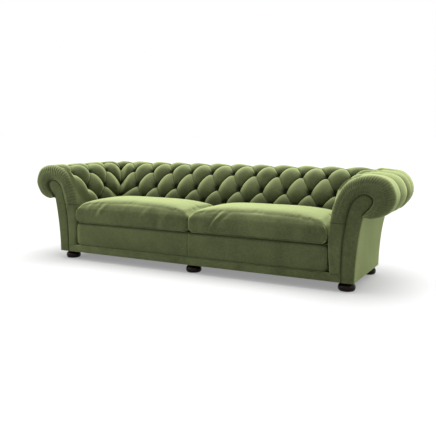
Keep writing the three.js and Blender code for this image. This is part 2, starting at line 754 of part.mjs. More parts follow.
function foot(x, y) {
  const body = footShares.map(([radius, height]) =>
    new THREE.Vector2(footRadius * radius, footHeight * height));
  const stud = [[studRadius, footHeight], [studRadius, studTop], [0, studTop]];
  const profile = [new THREE.Vector2(0, 0), ...body, ...stud.map(([r, z]) => new THREE.Vector2(r, z))];
  return new THREE.LatheGeometry(profile, footSides).rotateX(Math.PI / 2).translate(x, y, 0);
}
footPlaces.forEach(([x, y], i) => {
  const side = ["left", "middle", "right"][Math.floor(i / footY.length)];
  add(side + (y === footY[0] ? "_front_foot" : "_rear_foot"), foot(x, y), darkWood);
});

// Seat cushions

function cushion() {
  const [inner, outer] = [cushionGap / 2, seatHalfWidth - cushionArmGap];
  const cushionRear = backFace - cushionBackGap;
  const centre = [(inner + outer) / 2, (cushionFront + cushionRear) / 2, (cushionBottom + cushionSeamTop) / 2];
  const half = [(outer - inner) / 2, (cushionRear - cushionFront) / 2, (cushionSeamTop - cushionBottom) / 2];
  const geometry = new THREE.BoxGeometry(2, 2, 2, ...cushionCuts);
  const position = geometry.getAttribute("position");
  const point = new THREE.Vector3();
  for (let i = 0; i < position.count; i++) {
    point.fromBufferAttribute(position, i);
    position.setXYZ(i, ...cushionPoint(point.toArray(), half).map((value, k) => value + centre[k]));
  }
  return geometry;
}

// Turns a point of a 2 x 2 x 2 cube into one of the cushion, measured from its middle.
function cushionPoint(unit, half) {
  const raw = unit.map((u, k) => half[k] * Math.sin(u * Math.PI / 2));
  const core = raw.map((value, k) => Math.sign(value) * Math.min(Math.abs(value), half[k] - cushionRound));
  const off = new THREE.Vector3(...raw.map((value, k) => value - core[k])).setLength(cushionRound);
  const [x, y, z] = off.toArray().map((value, k) => core[k] + value);
  const [u, v, w] = [x / half[0], y / half[1], z / half[2]];
  const waist = cushionSwell * (1 - w * w) - cushionPullIn;
  const crown = cushionCrown * Math.max(0, w) * (1 - u ** 4) * (1 - v ** 4);
  return [
    x + waist * u ** 5 * (1 - v * v),
    y + waist * v ** 5 * (1 - u * u),
    z + crown,
  ];
}
addPair("seat_cushion", cushion(), velvet);

// The origin goes to the middle of the footprint, on the floor.
const bounds = new THREE.Box3().setFromObject(sofa);
sofa.position.set(0, -(bounds.min.y + bounds.max.y) / 2, 0);
sofa.updateMatrixWorld(true);

export default sofa;
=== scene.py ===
import math

import bmesh
import bpy
import numpy as np
from bpy.props import FloatProperty, FloatVectorProperty, PointerProperty
from mathutils import Euler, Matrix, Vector


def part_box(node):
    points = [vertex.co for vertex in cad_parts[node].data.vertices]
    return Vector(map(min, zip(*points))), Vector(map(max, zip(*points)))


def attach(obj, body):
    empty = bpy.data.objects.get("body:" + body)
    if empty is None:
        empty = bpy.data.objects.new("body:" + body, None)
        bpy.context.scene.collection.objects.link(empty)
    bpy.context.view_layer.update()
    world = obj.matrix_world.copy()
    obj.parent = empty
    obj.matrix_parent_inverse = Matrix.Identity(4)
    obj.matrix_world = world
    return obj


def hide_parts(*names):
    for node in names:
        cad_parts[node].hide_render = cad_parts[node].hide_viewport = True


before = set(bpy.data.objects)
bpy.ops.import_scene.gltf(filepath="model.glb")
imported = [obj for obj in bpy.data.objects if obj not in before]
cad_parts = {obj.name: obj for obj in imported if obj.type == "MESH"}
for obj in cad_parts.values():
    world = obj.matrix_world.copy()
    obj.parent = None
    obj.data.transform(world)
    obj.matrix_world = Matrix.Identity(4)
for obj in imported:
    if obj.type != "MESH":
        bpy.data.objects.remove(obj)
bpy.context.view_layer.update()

bl_info = {
    "name": "Chesterfield sofa",
    "version": (1, 0, 0),
    "blender": (4, 5, 0),
    "location": "3D View > Sidebar > Sofa",
    "description": "Dresses the sofa's frame with buttoned velvet padding, cushions and polished feet",
    "category": "Object",
}

# Everything is in metres. X runs along the sofa, the front faces -Y and +Z is up.
# Depths along Y are measured from the flat face of the arm facings, as on the drawing.

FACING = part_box("right_arm_facing")[0].y
SIDES = (("right", 1), ("left", -1))
SEAT_HALF_WIDTH = 0.956
ARM_REACH = 0.386
ARM_TOP = 0.698
BACK_FACE = 0.495
BACK_REACH = 0.334
BACK_RAKE = 0.190
PLINTH_TOP = 0.110
PLINTH_DEPTH = 0.040
PROFILE_HEIGHT = ARM_TOP - PLINTH_TOP
ARM_FOOT = SEAT_HALF_WIDTH + ARM_REACH * 0.4275
ARM_NECK = SEAT_HALF_WIDTH + ARM_REACH * 0.5233
BACK_FOOT = BACK_FACE + BACK_REACH * 0.3443
BACK_NECK = BACK_FACE + BACK_REACH * 0.53
NECK_HEIGHT = PLINTH_TOP + PROFILE_HEIGHT * 0.575
CORNER_WIDE = ARM_REACH * 0.777
CORNER_DEEP = BACK_REACH * 1.108
CORNER_PULL = 0.020
FACING_THICKNESS = 0.012
CLEARANCE = 0.0003

# Rows of the section: padding outside (across, height), core inside (across, height), as shares.
# A level is a place along these rows: 0 at the plinth, 5 on the crest, 10 at the neck of the roll.
SECTION = np.array([
    [0.036, 0.0, 0.218, 0.0],
    [0.003, 0.298, 0.225, 0.298],
    [0.021, 0.541, 0.262, 0.493],
    [0.088, 0.721, 0.311, 0.65],
    [0.264, 0.918, 0.381, 0.752],
    [0.606, 1.0, 0.521, 0.813],
    [0.886, 0.952, 0.627, 0.799],
    [1.0, 0.786, 0.674, 0.75],
    [0.896, 0.636, 0.637, 0.685],
    [0.679, 0.578, 0.578, 0.638],
    [0.536, 0.593, 0.534, 0.602],
])
CORNER_SHARES = np.array([0, 0, 0, 0, 0.08, 0.55, 0.95, 1, 0.9, 0.5, 0.25])
LAST_LEVEL = 10
CREST_LEVEL = 5
BUTTON_LEVEL = 2
TOP_ROW = 3

# A column is a place along a side, counted in buttons: 0 in the middle of the back, and on an arm
# at its first button.
BACK_PITCH = 0.182
ARM_PITCH = 0.200
FIRST_ARM_BUTTON = 0.090
BACK_COLUMNS = 5
ARM_COLUMNS = 2
COLUMN_STEP = 0.025
FIRST_ARM_COLUMN = -0.275
ARM_STAND = 0.010
FRONT_BULGE = 0.018
BAND_BULGE = 0.005
SEAM_HEIGHT = 0.413
UNSEAMED = 0.1
# Strength of the painted shade on the lower back, next to the seat.
SEAT_SHADE = 0.45
# Width and strength of the gathers on each arm; the strength scales their bump and their painted valley shade.
GATHERS = {"right": (1.0, 0.75), "left": (0.78, 1.05)}
BUTTON_STEPS = ((0.3, 1.1), (0.22, 0.93), (0.2, 0.72), (0.12, 0.5))


# The section of arms and back


def section_curve(column, face, reach, rake):
    """The centripetal curve through the section's points, as one cubic for each step."""
    across, height = SECTION[:, column], SECTION[:, column + 1]
    lean = rake * (height - SECTION[BUTTON_LEVEL, 1])
    points = np.stack([face + reach * across + lean, PLINTH_TOP + PROFILE_HEIGHT * height], 1)
    ends = [2 * points[0] - points[1], *points, 2 * points[-1] - points[-2]]
    cubics = []
    for a, b, c, d in zip(ends, ends[1:], ends[2:], ends[3:]):
        before, here, after = (np.linalg.norm(q - p) ** 0.5 for p, q in ((a, b), (b, c), (c, d)))
        start = ((b - a) / before - (c - a) / (before + here) + (c - b) / here) * here
        stop = ((c - b) / here - (d - b) / (here + after) + (d - c) / after) * here
        cubics.append([b, start, -3 * b + 3 * c - 2 * start - stop, 2 * b - 2 * c + start + stop])
    return np.array(cubics)


ARM_OUTER = section_curve(0, SEAT_HALF_WIDTH, ARM_REACH, 0)
ARM_INNER = section_curve(2, SEAT_HALF_WIDTH, ARM_REACH, 0)
BACK_OUTER = section_curve(0, BACK_FACE, BACK_REACH, BACK_RAKE)
BACK_INNER = section_curve(2, BACK_FACE, BACK_REACH, BACK_RAKE)


def on_section(curve, level, puff=0.0):
    """Points (across, height) of a section, moved out of its face by a puff of padding."""
    level = np.asarray(level, float)
    step = np.clip(level.astype(int), 0, LAST_LEVEL - 1)
    t = (level - step)[..., None]
    p, v, q, r = (curve[step, k] for k in range(4))
    point = p + v * t + q * t**2 + r * t**3
    along = v + 2 * q * t + 3 * r * t**2
    along /= np.linalg.norm(along, axis=-1, keepdims=True)
    puff = np.asarray(puff, float)
    return np.stack([point[..., 0] - along[..., 1] * puff, point[..., 1] + along[..., 0] * puff], -1)


def smooth(low, high, value):
    t = np.clip((np.asarray(value, float) - low) / (high - low), 0, 1)
    return t * t * (3 - 2 * t)


def mix(a, b, share):
    return a + (b - a) * share


def row_at(level):
    return np.clip(level - BUTTON_LEVEL, 0, TOP_ROW)


def across_at(curve, height):
    """How far across a section stands at a height on its face."""
    points = on_section(curve, np.linspace(0, CREST_LEVEL, 2001))
    return float(np.interp(height, points[:, 1], points[:, 0]))


# Deep buttoning


def tuft(column, level, plain_columns, sizes):
    """How far the padding stands before its plain cover, and its painted shade (0 to 1) in the pleats, round the
    buttons and next to the seat.

    An arm is plain before its plain_columns, which is None for the back.
    """
    row = row_at(level)
    rising, falling = column + row / 2, column - row / 2
    s, t = np.abs(np.sin(np.pi * rising)), np.abs(np.sin(np.pi * falling))
    rows = smooth(0.9, 2.1, level) * (1 - smooth(8.2, 10, level))
    over_roll = smooth(4.25, 5.15, level)
    swell = sewn = buttoned = 1.0
    if plain_columns is not None:
        # The plain front of an arm swells like the diamonds do along its last pleat.
        before = plain_columns - rising
        past_crest = smooth(4.6, 5, level)
        s = np.where(before > 0, np.sin(np.pi * np.clip(1.5 * before, 0, 0.5)), s)
        t = np.where(before > 0, mix(t, 1, smooth(0, 0.55, before)), t)
        s = np.where(before > -0.5, mix(s, 1, past_crest), s)
        t = np.where(falling < -plain_columns - 0.5, 1, t)
        t = np.where(before > -0.5, mix(t, 1, past_crest), t)
        swell = smooth(-1.0, -0.4, -before)
        sewn = (before < 0.5) & (falling > -plain_columns - 0.5)
        buttoned = smooth(-0.2, 0.6, -before)
    lip = (s * t + 1e-9) ** 0.5
    share = mix(lip, (s + t) / 2, sizes.pleat_slope)
    depth = sizes.tuft_depth * rows * mix(1.0, sizes.channel_share, over_roll)
    crown = sizes.crown_rise * (1 - over_roll) * rows * swell
    nearest = np.round(row)
    aside = column - nearest / 2 - np.round(column - nearest / 2)
    above = level - BUTTON_LEVEL - nearest
    pit = sizes.button_pit * np.exp(-((aside / 0.11) ** 2) - (above / 0.19) ** 2) * rows * sewn
    # Painted shade round a button, larger in the lowest row, next to the seat.
    wide, middle, high = (np.where(nearest == 0, *pair) for pair in ((0.15, 0.115), (0.1, 0.05), (0.24, 0.15)))
    shaded = np.exp(-((aside / wide) ** 2) - ((above - middle) / high) ** 2) * sewn
    # Painted shade, deepest in the pleats and weaker in the channels over the roll.
    tuft_shade = np.clip(np.clip(1 - share, 0, 1) ** 3.2 + shaded, 0, 1) * rows * mix(1.0, 0.7, over_roll)
    # Painted shade on the lower back next to the seat, only where the padding is buttoned.
    seat_shade = SEAT_SHADE * (1 - smooth(2.1, 3.0, level)) * buttoned
    return crown - depth * (1 - share) - pit, np.maximum(tuft_shade, seat_shade)


def stand_at(level):
    return ARM_STAND * smooth(2, 3, level) * (1 - smooth(4, 5, level))


def corner_share(level):
    return np.interp(level, np.arange(LAST_LEVEL + 1), CORNER_SHARES)


def turned(level, puff, angle):
    """The skin round the corner between an arm (0) and the back (a right angle)."""
    arm = on_section(ARM_OUTER, level, puff + stand_at(level))
    back = on_section(BACK_OUTER, level, puff)
    share = corner_share(level)
    wide, deep = CORNER_WIDE * share, CORNER_DEEP * share
    x = arm[..., 0] - wide + wide * np.cos(angle)
    y = back[..., 0] - deep + deep * np.sin(angle) + CORNER_PULL * (1 - share)
    return np.stack([x, y, mix(arm[..., 1], back[..., 1], np.sin(angle) ** 2)], -1)


def place_of(column, level, columns, start, pitch, corner):
    """Where a column stands along its side, and how far it has turned towards the mitre."""
    mitre = columns + row_at(level) / 2
    turn_start = mitre - np.minimum(1, 2 * corner_share(level))
    even = turn_start - 1
    turn = np.clip((column - turn_start) / np.maximum(mitre - turn_start, 1e-9), 0, 1)
    spread = mix(start + pitch * even, corner, np.clip(column - even, 0, 1))
    return np.where(column <= even, start + pitch * column, spread), turn


def core_corner(level):
    arm, back = on_section(ARM_INNER, level), on_section(BACK_INNER, level)
    return np.stack([arm[..., 0], back[..., 0], arm[..., 1]], -1)


def arm_skin(column, level, sizes, lift=0.0):
    """The padded face of an arm and its painted shade in the pleats."""
    mitre = ARM_COLUMNS + row_at(level) / 2
    puff, tuft_shade = tuft(np.minimum(column, mitre), level, 1, sizes)
    puff = puff + lift
    corner = turned(level, puff, 0.0)[..., 1]
    place, turn = place_of(column, level, ARM_COLUMNS, FIRST_ARM_BUTTON, ARM_PITCH, corner)
    stand = stand_at(level) * smooth(1, 1.6, column + row_at(level) / 2)
    flat = on_section(ARM_OUTER, level, puff + stand)
    straight = np.stack([flat[..., 0], place, flat[..., 1]], -1)
    return np.where((turn > 0)[..., None], turned(level, puff, turn * np.pi / 4), straight), tuft_shade


def back_skin(column, level, sizes, lift=0.0):
    """The padded face of the back and its painted shade in the pleats."""
    side, away = np.where(column < 0, -1.0, 1.0), np.abs(column)
    mitre = BACK_COLUMNS + row_at(level) / 2
    puff, tuft_shade = tuft(np.minimum(away, mitre), level, None, sizes)
    puff = puff + lift
    corner = turned(level, puff, np.pi / 2)[..., 0]
    place, turn = place_of(away, level, BACK_COLUMNS, 0.0, BACK_PITCH, corner)
    flat = on_section(BACK_OUTER, level, puff)
    share = corner_share(level)
    turn_start = mitre - np.minimum(1, 2 * share)
    pull = CORNER_PULL * (1 - share) * smooth(turn_start - 0.5, turn_start, away)
    straight = np.stack([place, flat[..., 0] + pull, flat[..., 1]], -1)
    point = np.where((turn > 0)[..., None], turned(level, puff, np.pi / 2 - turn * np.pi / 4), straight)
    return point * np.stack([side, np.ones_like(side), np.ones_like(side)], -1), tuft_shade


def skin_levels(first):
    """Levels of the fine mesh: closest where the rows of buttons are."""
    return np.concatenate([np.arange(first, 1.5, 0.1), np.arange(1.5, 5.5, 0.05), np.arange(5.5, 10.01, 0.1)])


# Mesh helpers


def only(piece):
    """Selects one object alone and makes it the active one."""
    bpy.ops.object.select_all(action="DESELECT")
    piece.select_set(True)
    bpy.context.view_layer.objects.active = piece


def applied(piece, kind, **settings):
    """Gives a piece a modifier with these settings and applies it."""
    only(piece)
    modifier = piece.modifiers.new(kind, kind)
    for key, value in settings.items():
        setattr(modifier, key, value)
    bpy.ops.object.modifier_apply(modifier=modifier.name)


def points_of(piece):
    co = np.empty(len(piece.data.vertices) * 3, np.float32)
    piece.data.vertices.foreach_get("co", co)
    return co.reshape(-1, 3).astype(float)


def place_points(piece, co):
    piece.data.vertices.foreach_set("co", co.astype(np.float32).ravel())
    piece.data.update()


def mark(mesh, values):
    """Puts named values on the points of a mesh."""
    for key, data in values.items():
        layer = mesh.attributes.new(key, "FLOAT", "POINT")
        layer.data.foreach_set("value", np.asarray(data, np.float32).ravel())


def finish_piece(piece, material, replaces=(), body="body", angle=50):
    """Shades a piece, gives it its material and ties it to the body that it moves with."""
    only(piece)
    bpy.ops.object.shade_smooth_by_angle(angle=math.radians(angle))
    piece.data.materials.clear()
    piece.data.materials.append(material)
    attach(piece, body)
    if replaces:
        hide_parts(*replaces)
    piece.select_set(False)


def mesh_object(name, points, faces, values=None):
    """A new object from points measured from the facings, with named values on its points."""
    mesh = bpy.data.meshes.new(name)
    placed = np.asarray(points, float).reshape(-1, 3) + [0, FACING, 0]
    mesh.from_pydata(placed.tolist(), [], faces)
    mark(mesh, values or {})
    piece = bpy.data.objects.new(name, mesh)
    bpy.context.scene.collection.objects.link(piece)
    close_up(piece)
    return piece


def close_up(piece):
    """Merges doubled points, drops faces that have collapsed and turns the rest outwards."""
    work = bmesh.new()
    work.from_mesh(piece.data)
    bmesh.ops.remove_doubles(work, verts=work.verts, dist=1e-6)
    bmesh.ops.dissolve_degenerate(work, edges=work.edges, dist=1e-7)
    bmesh.ops.recalc_face_normals(work, faces=work.faces)
    if work.calc_volume(signed=True) < 0:
        bmesh.ops.reverse_faces(work, faces=work.faces)
    work.to_mesh(piece.data)
    work.free()


def zipped(a, b):
    """Triangles between two rows of points that run the same way."""
    faces, i, j = [], 0, 0
    while i < len(a) - 1 or j < len(b) - 1:
        if j == len(b) - 1 or (i < len(a) - 1 and (i + 1) * (len(b) - 1) <= (j + 1) * (len(a) - 1)):
            faces.append((a[i], a[i + 1], b[j]))
            i += 1
        else:
            faces.append((a[i], b[j + 1], b[j]))
            j += 1
    return faces


def shell(rows, count, skin_count, heights):
    """Faces between closed loops, each cell folded along its lower diagonal, and both ends filled."""
    k, j = np.meshgrid(np.arange(rows - 1), np.arange(count), indexing="ij")
    nxt = (j + 1) % count
    corners = (k * count + j, (k + 1) * count + j, (k + 1) * count + nxt, k * count + nxt)
    quads = np.stack(corners, -1).reshape(-1, 4)
    h = heights.ravel()[quads]
    straight = (h[:, 0] + h[:, 2] <= h[:, 1] + h[:, 3])[:, None]
    first = np.where(straight, quads[:, [0, 1, 2]], quads[:, [0, 1, 3]])
    second = np.where(straight, quads[:, [0, 2, 3]], quads[:, [1, 2, 3]])
    faces = np.concatenate([first, second]).tolist()
    for row in (0, rows - 1):
        skin = [row * count + n for n in range(skin_count)]
        core = [row * count + n % count for n in range(count, skin_count - 2, -1)]
        faces += [face if row else face[::-1] for face in zipped(skin, core)]
    return faces


def wall(near, far):
    """Squares between two closed rows of points."""
    return [(a, c, d, b) for a, b, c, d in zip(near, near[1:] + near[:1], far, far[1:] + far[:1])]


def grid_faces(rows, count):
    """Squares between the points of a grid that is numbered row by row."""
    starts = (k * count + j for k in range(rows - 1) for j in range(count - 1))
    return [(a, a + 1, a + count + 1, a + count) for a in starts]


def grid_rim(rows, count):
    """The points round a grid, in order."""
    rim = list(range(count)) + [k * count + count - 1 for k in range(1, rows)]
    rim += [(rows - 1) * count + j for j in range(count - 2, -1, -1)]
    return rim + [k * count for k in range(rows - 2, 0, -1)]


def lofted(name, loops, values=None):
    """A closed body through a row of loops, filled at both ends."""
    rows, count = loops.shape[:2]
    rings = [list(range(k * count, (k + 1) * count)) for k in range(rows)]
    faces = [face for near, far in zip(rings, rings[1:]) for face in wall(near, far)]
    return mesh_object(name, loops, faces + [tuple(rings[0][::-1]), tuple(rings[-1])], values)


# Wiring of materials


class Value:
    """What a shader node gives out. It adds and multiplies like a number."""

    def __init__(self, wires, socket):
        self.wires, self.socket = wires, socket

    def __add__(self, other):
        return self.wires.maths("ADD", self, other)

    def __mul__(self, other):
        return self.wires.maths("MULTIPLY", self, other)

    def __rsub__(self, other):
        return self.wires.maths("SUBTRACT", other, self)

    __radd__ = __add__

    def in_range(self, low, high, to_low=0.0, to_high=1.0, kind="SMOOTHSTEP"):
        spans = {"Value": self, "From Min": low, "From Max": high, "To Min": to_low, "To Max": to_high}
        return self.wires.node("ShaderNodeMapRange", spans, interpolation_type=kind)["Result"]


def by_key(sockets):
    """Sockets by identifier, name and place. Of two with one name, the first counts."""
    found = {socket.identifier: socket for socket in sockets}
    found.update({socket.name: socket for socket in reversed(list(sockets))})
    found.update(enumerate(sockets))
    return found


class Wires:
    """Adds nodes to one material or node group."""

    def __init__(self, tree):
        self.tree = tree

    def outputs(self, made):
        return {key: Value(self, socket) for key, socket in by_key(made.outputs).items()}

    def feed(self, target, inputs):
        """Links or sets the inputs of a node."""
        sockets = by_key(target.inputs)
        for key, value in dict(inputs).items():
            if isinstance(value, Value):
                self.tree.links.new(value.socket, sockets[key])
            else:
                sockets[key].default_value = value

    def node(self, kind, inputs=(), **settings):
        """Adds a node with its settings and inputs, and hands back what it gives out."""
        made = self.tree.nodes.new(kind)
        for key, value in settings.items():
            setattr(made, key, value)
        self.feed(made, inputs)
        return self.outputs(made)

    def maths(self, operation, *values):
        return self.node("ShaderNodeMath", enumerate(values), operation=operation)[0]

    def blended(self, share, a, b):
        colours = {"Factor_Float": share, "A_Color": a, "B_Color": b}
        return self.node("ShaderNodeMix", colours, data_type="RGBA")["Result_Color"]

    def scaled(self, colour, share):
        return self.node("ShaderNodeVectorMath", {0: colour, "Scale": share}, operation="SCALE")[0]

    def noise(self, vector, scale, detail=3.0, roughness=0.5, distortion=0.0):
        inputs = {"Vector": vector, "Scale": scale, "Detail": detail, "Roughness": roughness}
        return self.node("ShaderNodeTexNoise", {**inputs, "Distortion": distortion})["Fac"]

    def place(self):
        return self.node("ShaderNodeTexCoord")["Object"]

    def parts(self, vector):
        return self.node("ShaderNodeSeparateXYZ", {0: vector})

    def attribute(self, name):
        return self.node("ShaderNodeAttribute", attribute_name=name)["Fac"]

    def bump(self, height):
        return self.node("ShaderNodeBump", {"Strength": 1.0, "Distance": 1.0, "Height": height})["Normal"]

    def group(self, tree, inputs):
        return self.node("ShaderNodeGroup", inputs, node_tree=tree)

    def seen_directly(self):
        """1 for rays that show a thing itself, 0 for rays that bring its light to others."""
        rays = self.node("ShaderNodeLightPath")
        mirrored = self.maths("MAXIMUM", rays["Is Glossy Ray"], rays["Is Transmission Ray"])
        return self.maths("MAXIMUM", rays["Is Camera Ray"], mirrored)

    def give(self, **results):
        """Adds the outputs of a node group and hands the group back."""
        for name in results:
            kind = "NodeSocketColor" if name == "Colour" else "NodeSocketFloat"
            self.tree.interface.new_socket(name, in_out="OUTPUT", socket_type=kind)
        self.feed(self.tree.nodes.new("NodeGroupOutput"), results)
        return self.tree


def new_group(name, inputs):
    """A node group whose inputs take their kind from their defaults: its wires and what it is given."""
    tree = bpy.data.node_groups.new(name, "ShaderNodeTree")
    kinds = {1: "NodeSocketFloat", 3: "NodeSocketVector", 4: "NodeSocketColor"}
    for label, default in inputs.items():
        socket = tree.interface.new_socket(label, in_out="INPUT", socket_type=kinds[np.size(default)])
        socket.default_value = default
    wires = Wires(tree)
    return wires, wires.outputs(tree.nodes.new("NodeGroupInput"))


def new_material(name):
    material = bpy.data.materials.new(name)
    material.use_nodes = True
    tree = material.node_tree
    return material, Wires(tree), tree.nodes["Principled BSDF"]


def once(store):
    """Makes each material or node group once, and hands it out again by its name."""
    def keep(build):
        def get(name, *values, **settings):
            return getattr(bpy.data, store).get(name) or build(name, *values, **settings)
        return get
    return keep


# Materials

PILE_DEPTH = 0.0002
GATHER_WIDTHS = (0.0175, 0.0078)
GATHER_DEPTH = 0.0012
STITCH_DEPTH = 0.0010
WEAVE_DEPTH = 0.0003


@once("node_groups")
def pile_group(name):
    """Velvet pile: brushed patches, fine grain, and painted shade where a crease mask is set."""
    wires, given = new_group(name, {
        "Colour": (0.1, 0.12, 0.05, 1), "Patch Size": 0.12, "Patch Strength": 0.3,
        "Grain Strength": 0.21, "Crease Shade": 0.0, "Crease Strength": 0.93})
    place = wires.place()
    patch_scale = wires.maths("DIVIDE", 1.0, given["Patch Size"])
    patches = wires.noise(place, patch_scale, distortion=0.6).in_range(0.3, 0.7, -1.0, 1.0)
    grain = wires.noise(place, 420.0, 2.0, 0.6).in_range(0.3, 0.7, -1.0, 1.0, "LINEAR")
    brushed = wires.noise(place, 70.0, 4.0, 0.7).in_range(0.3, 0.7, -1.0, 1.0, "LINEAR")
    fine = grain + brushed * 0.9
    value = patches * given["Patch Strength"] + fine * given["Grain Strength"] + 1.0
    # Painted shade: the pile is darker where the crease mask is set.
    value = value * (1.0 - given["Crease Shade"] * given["Crease Strength"])
    return wires.give(Colour=wires.scaled(given["Colour"], value), Height=fine * 0.5 + patches * 0.6,
                      Roughness=patches.in_range(-1, 1, 0.92, 0.78))


@once("materials")
def velvet(name, pleated=False, gathered=False, seamed=False, patch=0.11, strength=0.22, shade=1.0):
    """Velvet with its own pile and painted sheen, and where asked for pleats (painted shade in the creases),
    gathers or a stitched seam.
    """
    colours = bpy.context.scene.sofa_colours
    material, wires, shader = new_material(name)
    # Painted shade: the crease mask that a piece carries darkens the pile in its pleats, grooves and tucks.
    crease_shade = wires.attribute("crease_shade") if pleated else 0.0
    relief = 0.0
    if gathered:
        place, along = wires.place(), wires.attribute("gather_along")
        drift = wires.noise(place, 9.0, 2.0) * 5.0
        wave, small = (wires.maths("SINE", along * (math.tau / width) + drift) for width in GATHER_WIDTHS)
        uneven = wires.noise(place, 16.0, 2.0).in_range(0.35, 0.65, 0.45, 1.15)
        fold = (wave + small * 0.45 + -1.0) * (wires.attribute("gather") * uneven)
        relief = fold * GATHER_DEPTH
        # Painted shade in the valleys of the gathers.
        crease_shade = crease_shade + fold * -0.19
    if seamed:
        gap = wires.maths("ABSOLUTE", wires.attribute("seam"))
        line = gap.in_range(0.0006, 0.0032, 1.0, 0.0)
        relief = relief + line * -STITCH_DEPTH
        # The stitched seam's dark line joins the painted crease shade here.
        crease_shade = wires.maths("MAXIMUM", crease_shade, line * 0.75)
    # The shade argument makes lighter and darker copies of the one velvet: painted light and shade. Dark copies
    # also lose their painted sheen and shader sheen.
    pile = wires.group(pile_group("Velvet pile"), {
        "Colour": (*(shade * c for c in colours.velvet), 1), "Patch Size": patch,
        "Patch Strength": strength, "Crease Shade": crease_shade})
    normal = wires.bump(pile["Height"] * PILE_DEPTH + relief)
    # Painted sheen: the pile is painted lighter where it is seen from its side, and painted top light keeps this
    # weaker on what faces down.
    facing = wires.node("ShaderNodeLayerWeight", {"Blend": 0.5, "Normal": normal})["Facing"]
    upward = wires.parts(wires.node("ShaderNodeNewGeometry")["Normal"])["Z"]
    edge = wires.maths("POWER", facing, 1.9) * (colours.edge * min(1, shade))
    edge = edge * upward.in_range(-0.3, 0.85, 0.13, 1.0)
    lit = wires.blended(edge, pile["Colour"], (*colours.painted_sheen_colour, 1))
    wires.feed(shader, {
        "Base Color": wires.blended(crease_shade, lit, pile["Colour"]),
        "Roughness": pile["Roughness"],
        "Normal": normal,
        "Specular IOR Level": 0.12,
        "Sheen Weight": colours.sheen * min(1, shade),
        "Sheen Roughness": colours.sheen_roughness,
        "Sheen Tint": (*colours.sheen_tint, 1),
    })
    return material


@once("node_groups")
def grain_group(name):
    """Wood grain: long fibres along one axis, with rings and pores."""
    wires, given = new_group(name, {
        "Light": (0.6, 0.45, 0.28, 1), "Dark": (0.45, 0.3, 0.17, 1), "Stretch": (1, 12, 12),
        "Ring Scale": 6.0})
    stretch = {0: wires.place(), 1: given["Stretch"]}
    drawn = wires.node("ShaderNodeVectorMath", stretch, operation="MULTIPLY")[0]
    rings = wires.noise(drawn, given["Ring Scale"], 4.0, distortion=0.4)
    pores = wires.noise(drawn, 70.0, 2.0, 0.7)
    share = wires.maths("FRACT", rings * 7.0).in_range(0.0, 1.0) * 0.55 + pores * 0.45
    return wires.give(Colour=wires.blended(share, given["Light"], given["Dark"]), Height=share)


@once("materials")
def wood(name, light, dark, roughness, stretch, ring_scale=6.0, depth=0.0002, shine=0.5):
    """Planed or polished wood."""
    material, wires, shader = new_material(name)
    grain = wires.group(grain_group("Wood grain"), {
        "Light": (*light, 1), "Dark": (*dark, 1), "Stretch": stretch, "Ring Scale": ring_scale})
    wires.feed(shader, {
        "Base Color": grain["Colour"],
        "Roughness": grain["Height"].in_range(0, 1, roughness, roughness + 0.12),
        "Normal": wires.bump(grain["Height"] * -depth),
        "Specular IOR Level": shine,
    })
    return material


@once("node_groups")
def weave_group(name):
    """Plain weave: threads over and under each other, with uneven thickness."""
    wires, given = new_group(name, {"Colour": (0.5, 0.45, 0.35, 1), "Thread": 0.0012, "Contrast": 0.35})
    place = wires.place()
    parts = wires.parts(place)
    turn = wires.maths("DIVIDE", math.pi, given["Thread"])
    warp, weft = (wires.maths("SINE", parts[axis] * turn) for axis in "XY")
    value = warp * weft * 0.5 + wires.noise(place, 160.0, 2.0)
    shade = value.in_range(0.0, 1.0, -1.0, 1.0, "LINEAR") * given["Contrast"] + 1.0
    return wires.give(Colour=wires.scaled(given["Colour"], shade), Height=value)


@once("materials")
def cloth(name, colour, thread, contrast):
    """Plain woven cloth."""
    material, wires, shader = new_material(name)
    weave = wires.group(weave_group("Plain weave"), {
        "Colour": (*colour, 1), "Thread": thread, "Contrast": contrast})
    wires.feed(shader, {
        "Base Color": weave["Colour"],
        "Normal": wires.bump(weave["Height"] * WEAVE_DEPTH),
        "Roughness": 0.9,
        "Sheen Weight": 0.2,
    })
    return material


@once("materials")
def wire(name):
    """Drawn steel wire with a dull stain."""
    material, wires, shader = new_material(name)
    place = wires.place()
    stain = wires.noise(place, 24.0).in_range(0.35, 0.65)
    wires.feed(shader, {
        "Base Color": wires.blended(stain, (0.46, 0.47, 0.49, 1), (0.33, 0.32, 0.31, 1)),
        "Roughness": wires.noise(place, 260.0, 3.0, 0.6).in_range(0.2, 0.8, 0.28, 0.5),
        "Metallic": 1.0,
    })
    return material


# Sizes and colours that a user may change


def length(name, default, description):
    return FloatProperty(name=name, description=description, default=default, unit="LENGTH")


def factor(name, default, description):
    return FloatProperty(name=name, description=description, default=default, min=0, max=1, subtype="FACTOR")


def colour(name, default, description):
    return FloatVectorProperty(name=name, description=description, default=default, size=3, min=0, max=1,
                               subtype="COLOR")


class SofaSizes(bpy.types.PropertyGroup):
    tuft_depth: length("Tuft depth", 0.051, "Crown of a diamond to its buttons")
    crown_rise: length("Crown rise", 0.019, "Crown of a diamond before the plain cover")
    pleat_slope: factor("Pleat slope", 0.36, "0 gives round lips along the pleats, 1 straight slopes")
    channel_share: factor("Channel depth", 0.27, "Depth of the channels over the roll, as a share of the tufts'")
    button_pit: length("Button pit", 0.012, "How far a button draws in the padding round it")
    button_radius: length("Button radius", 0.0095, "Radius of a covered button")
    cushion_growth: length("Cushion fill", 0.014, "How far the filling may push a cushion's cover out")
    seam_depth: length("Seam depth", 0.003, "Depth of the seam in the middle of the border")


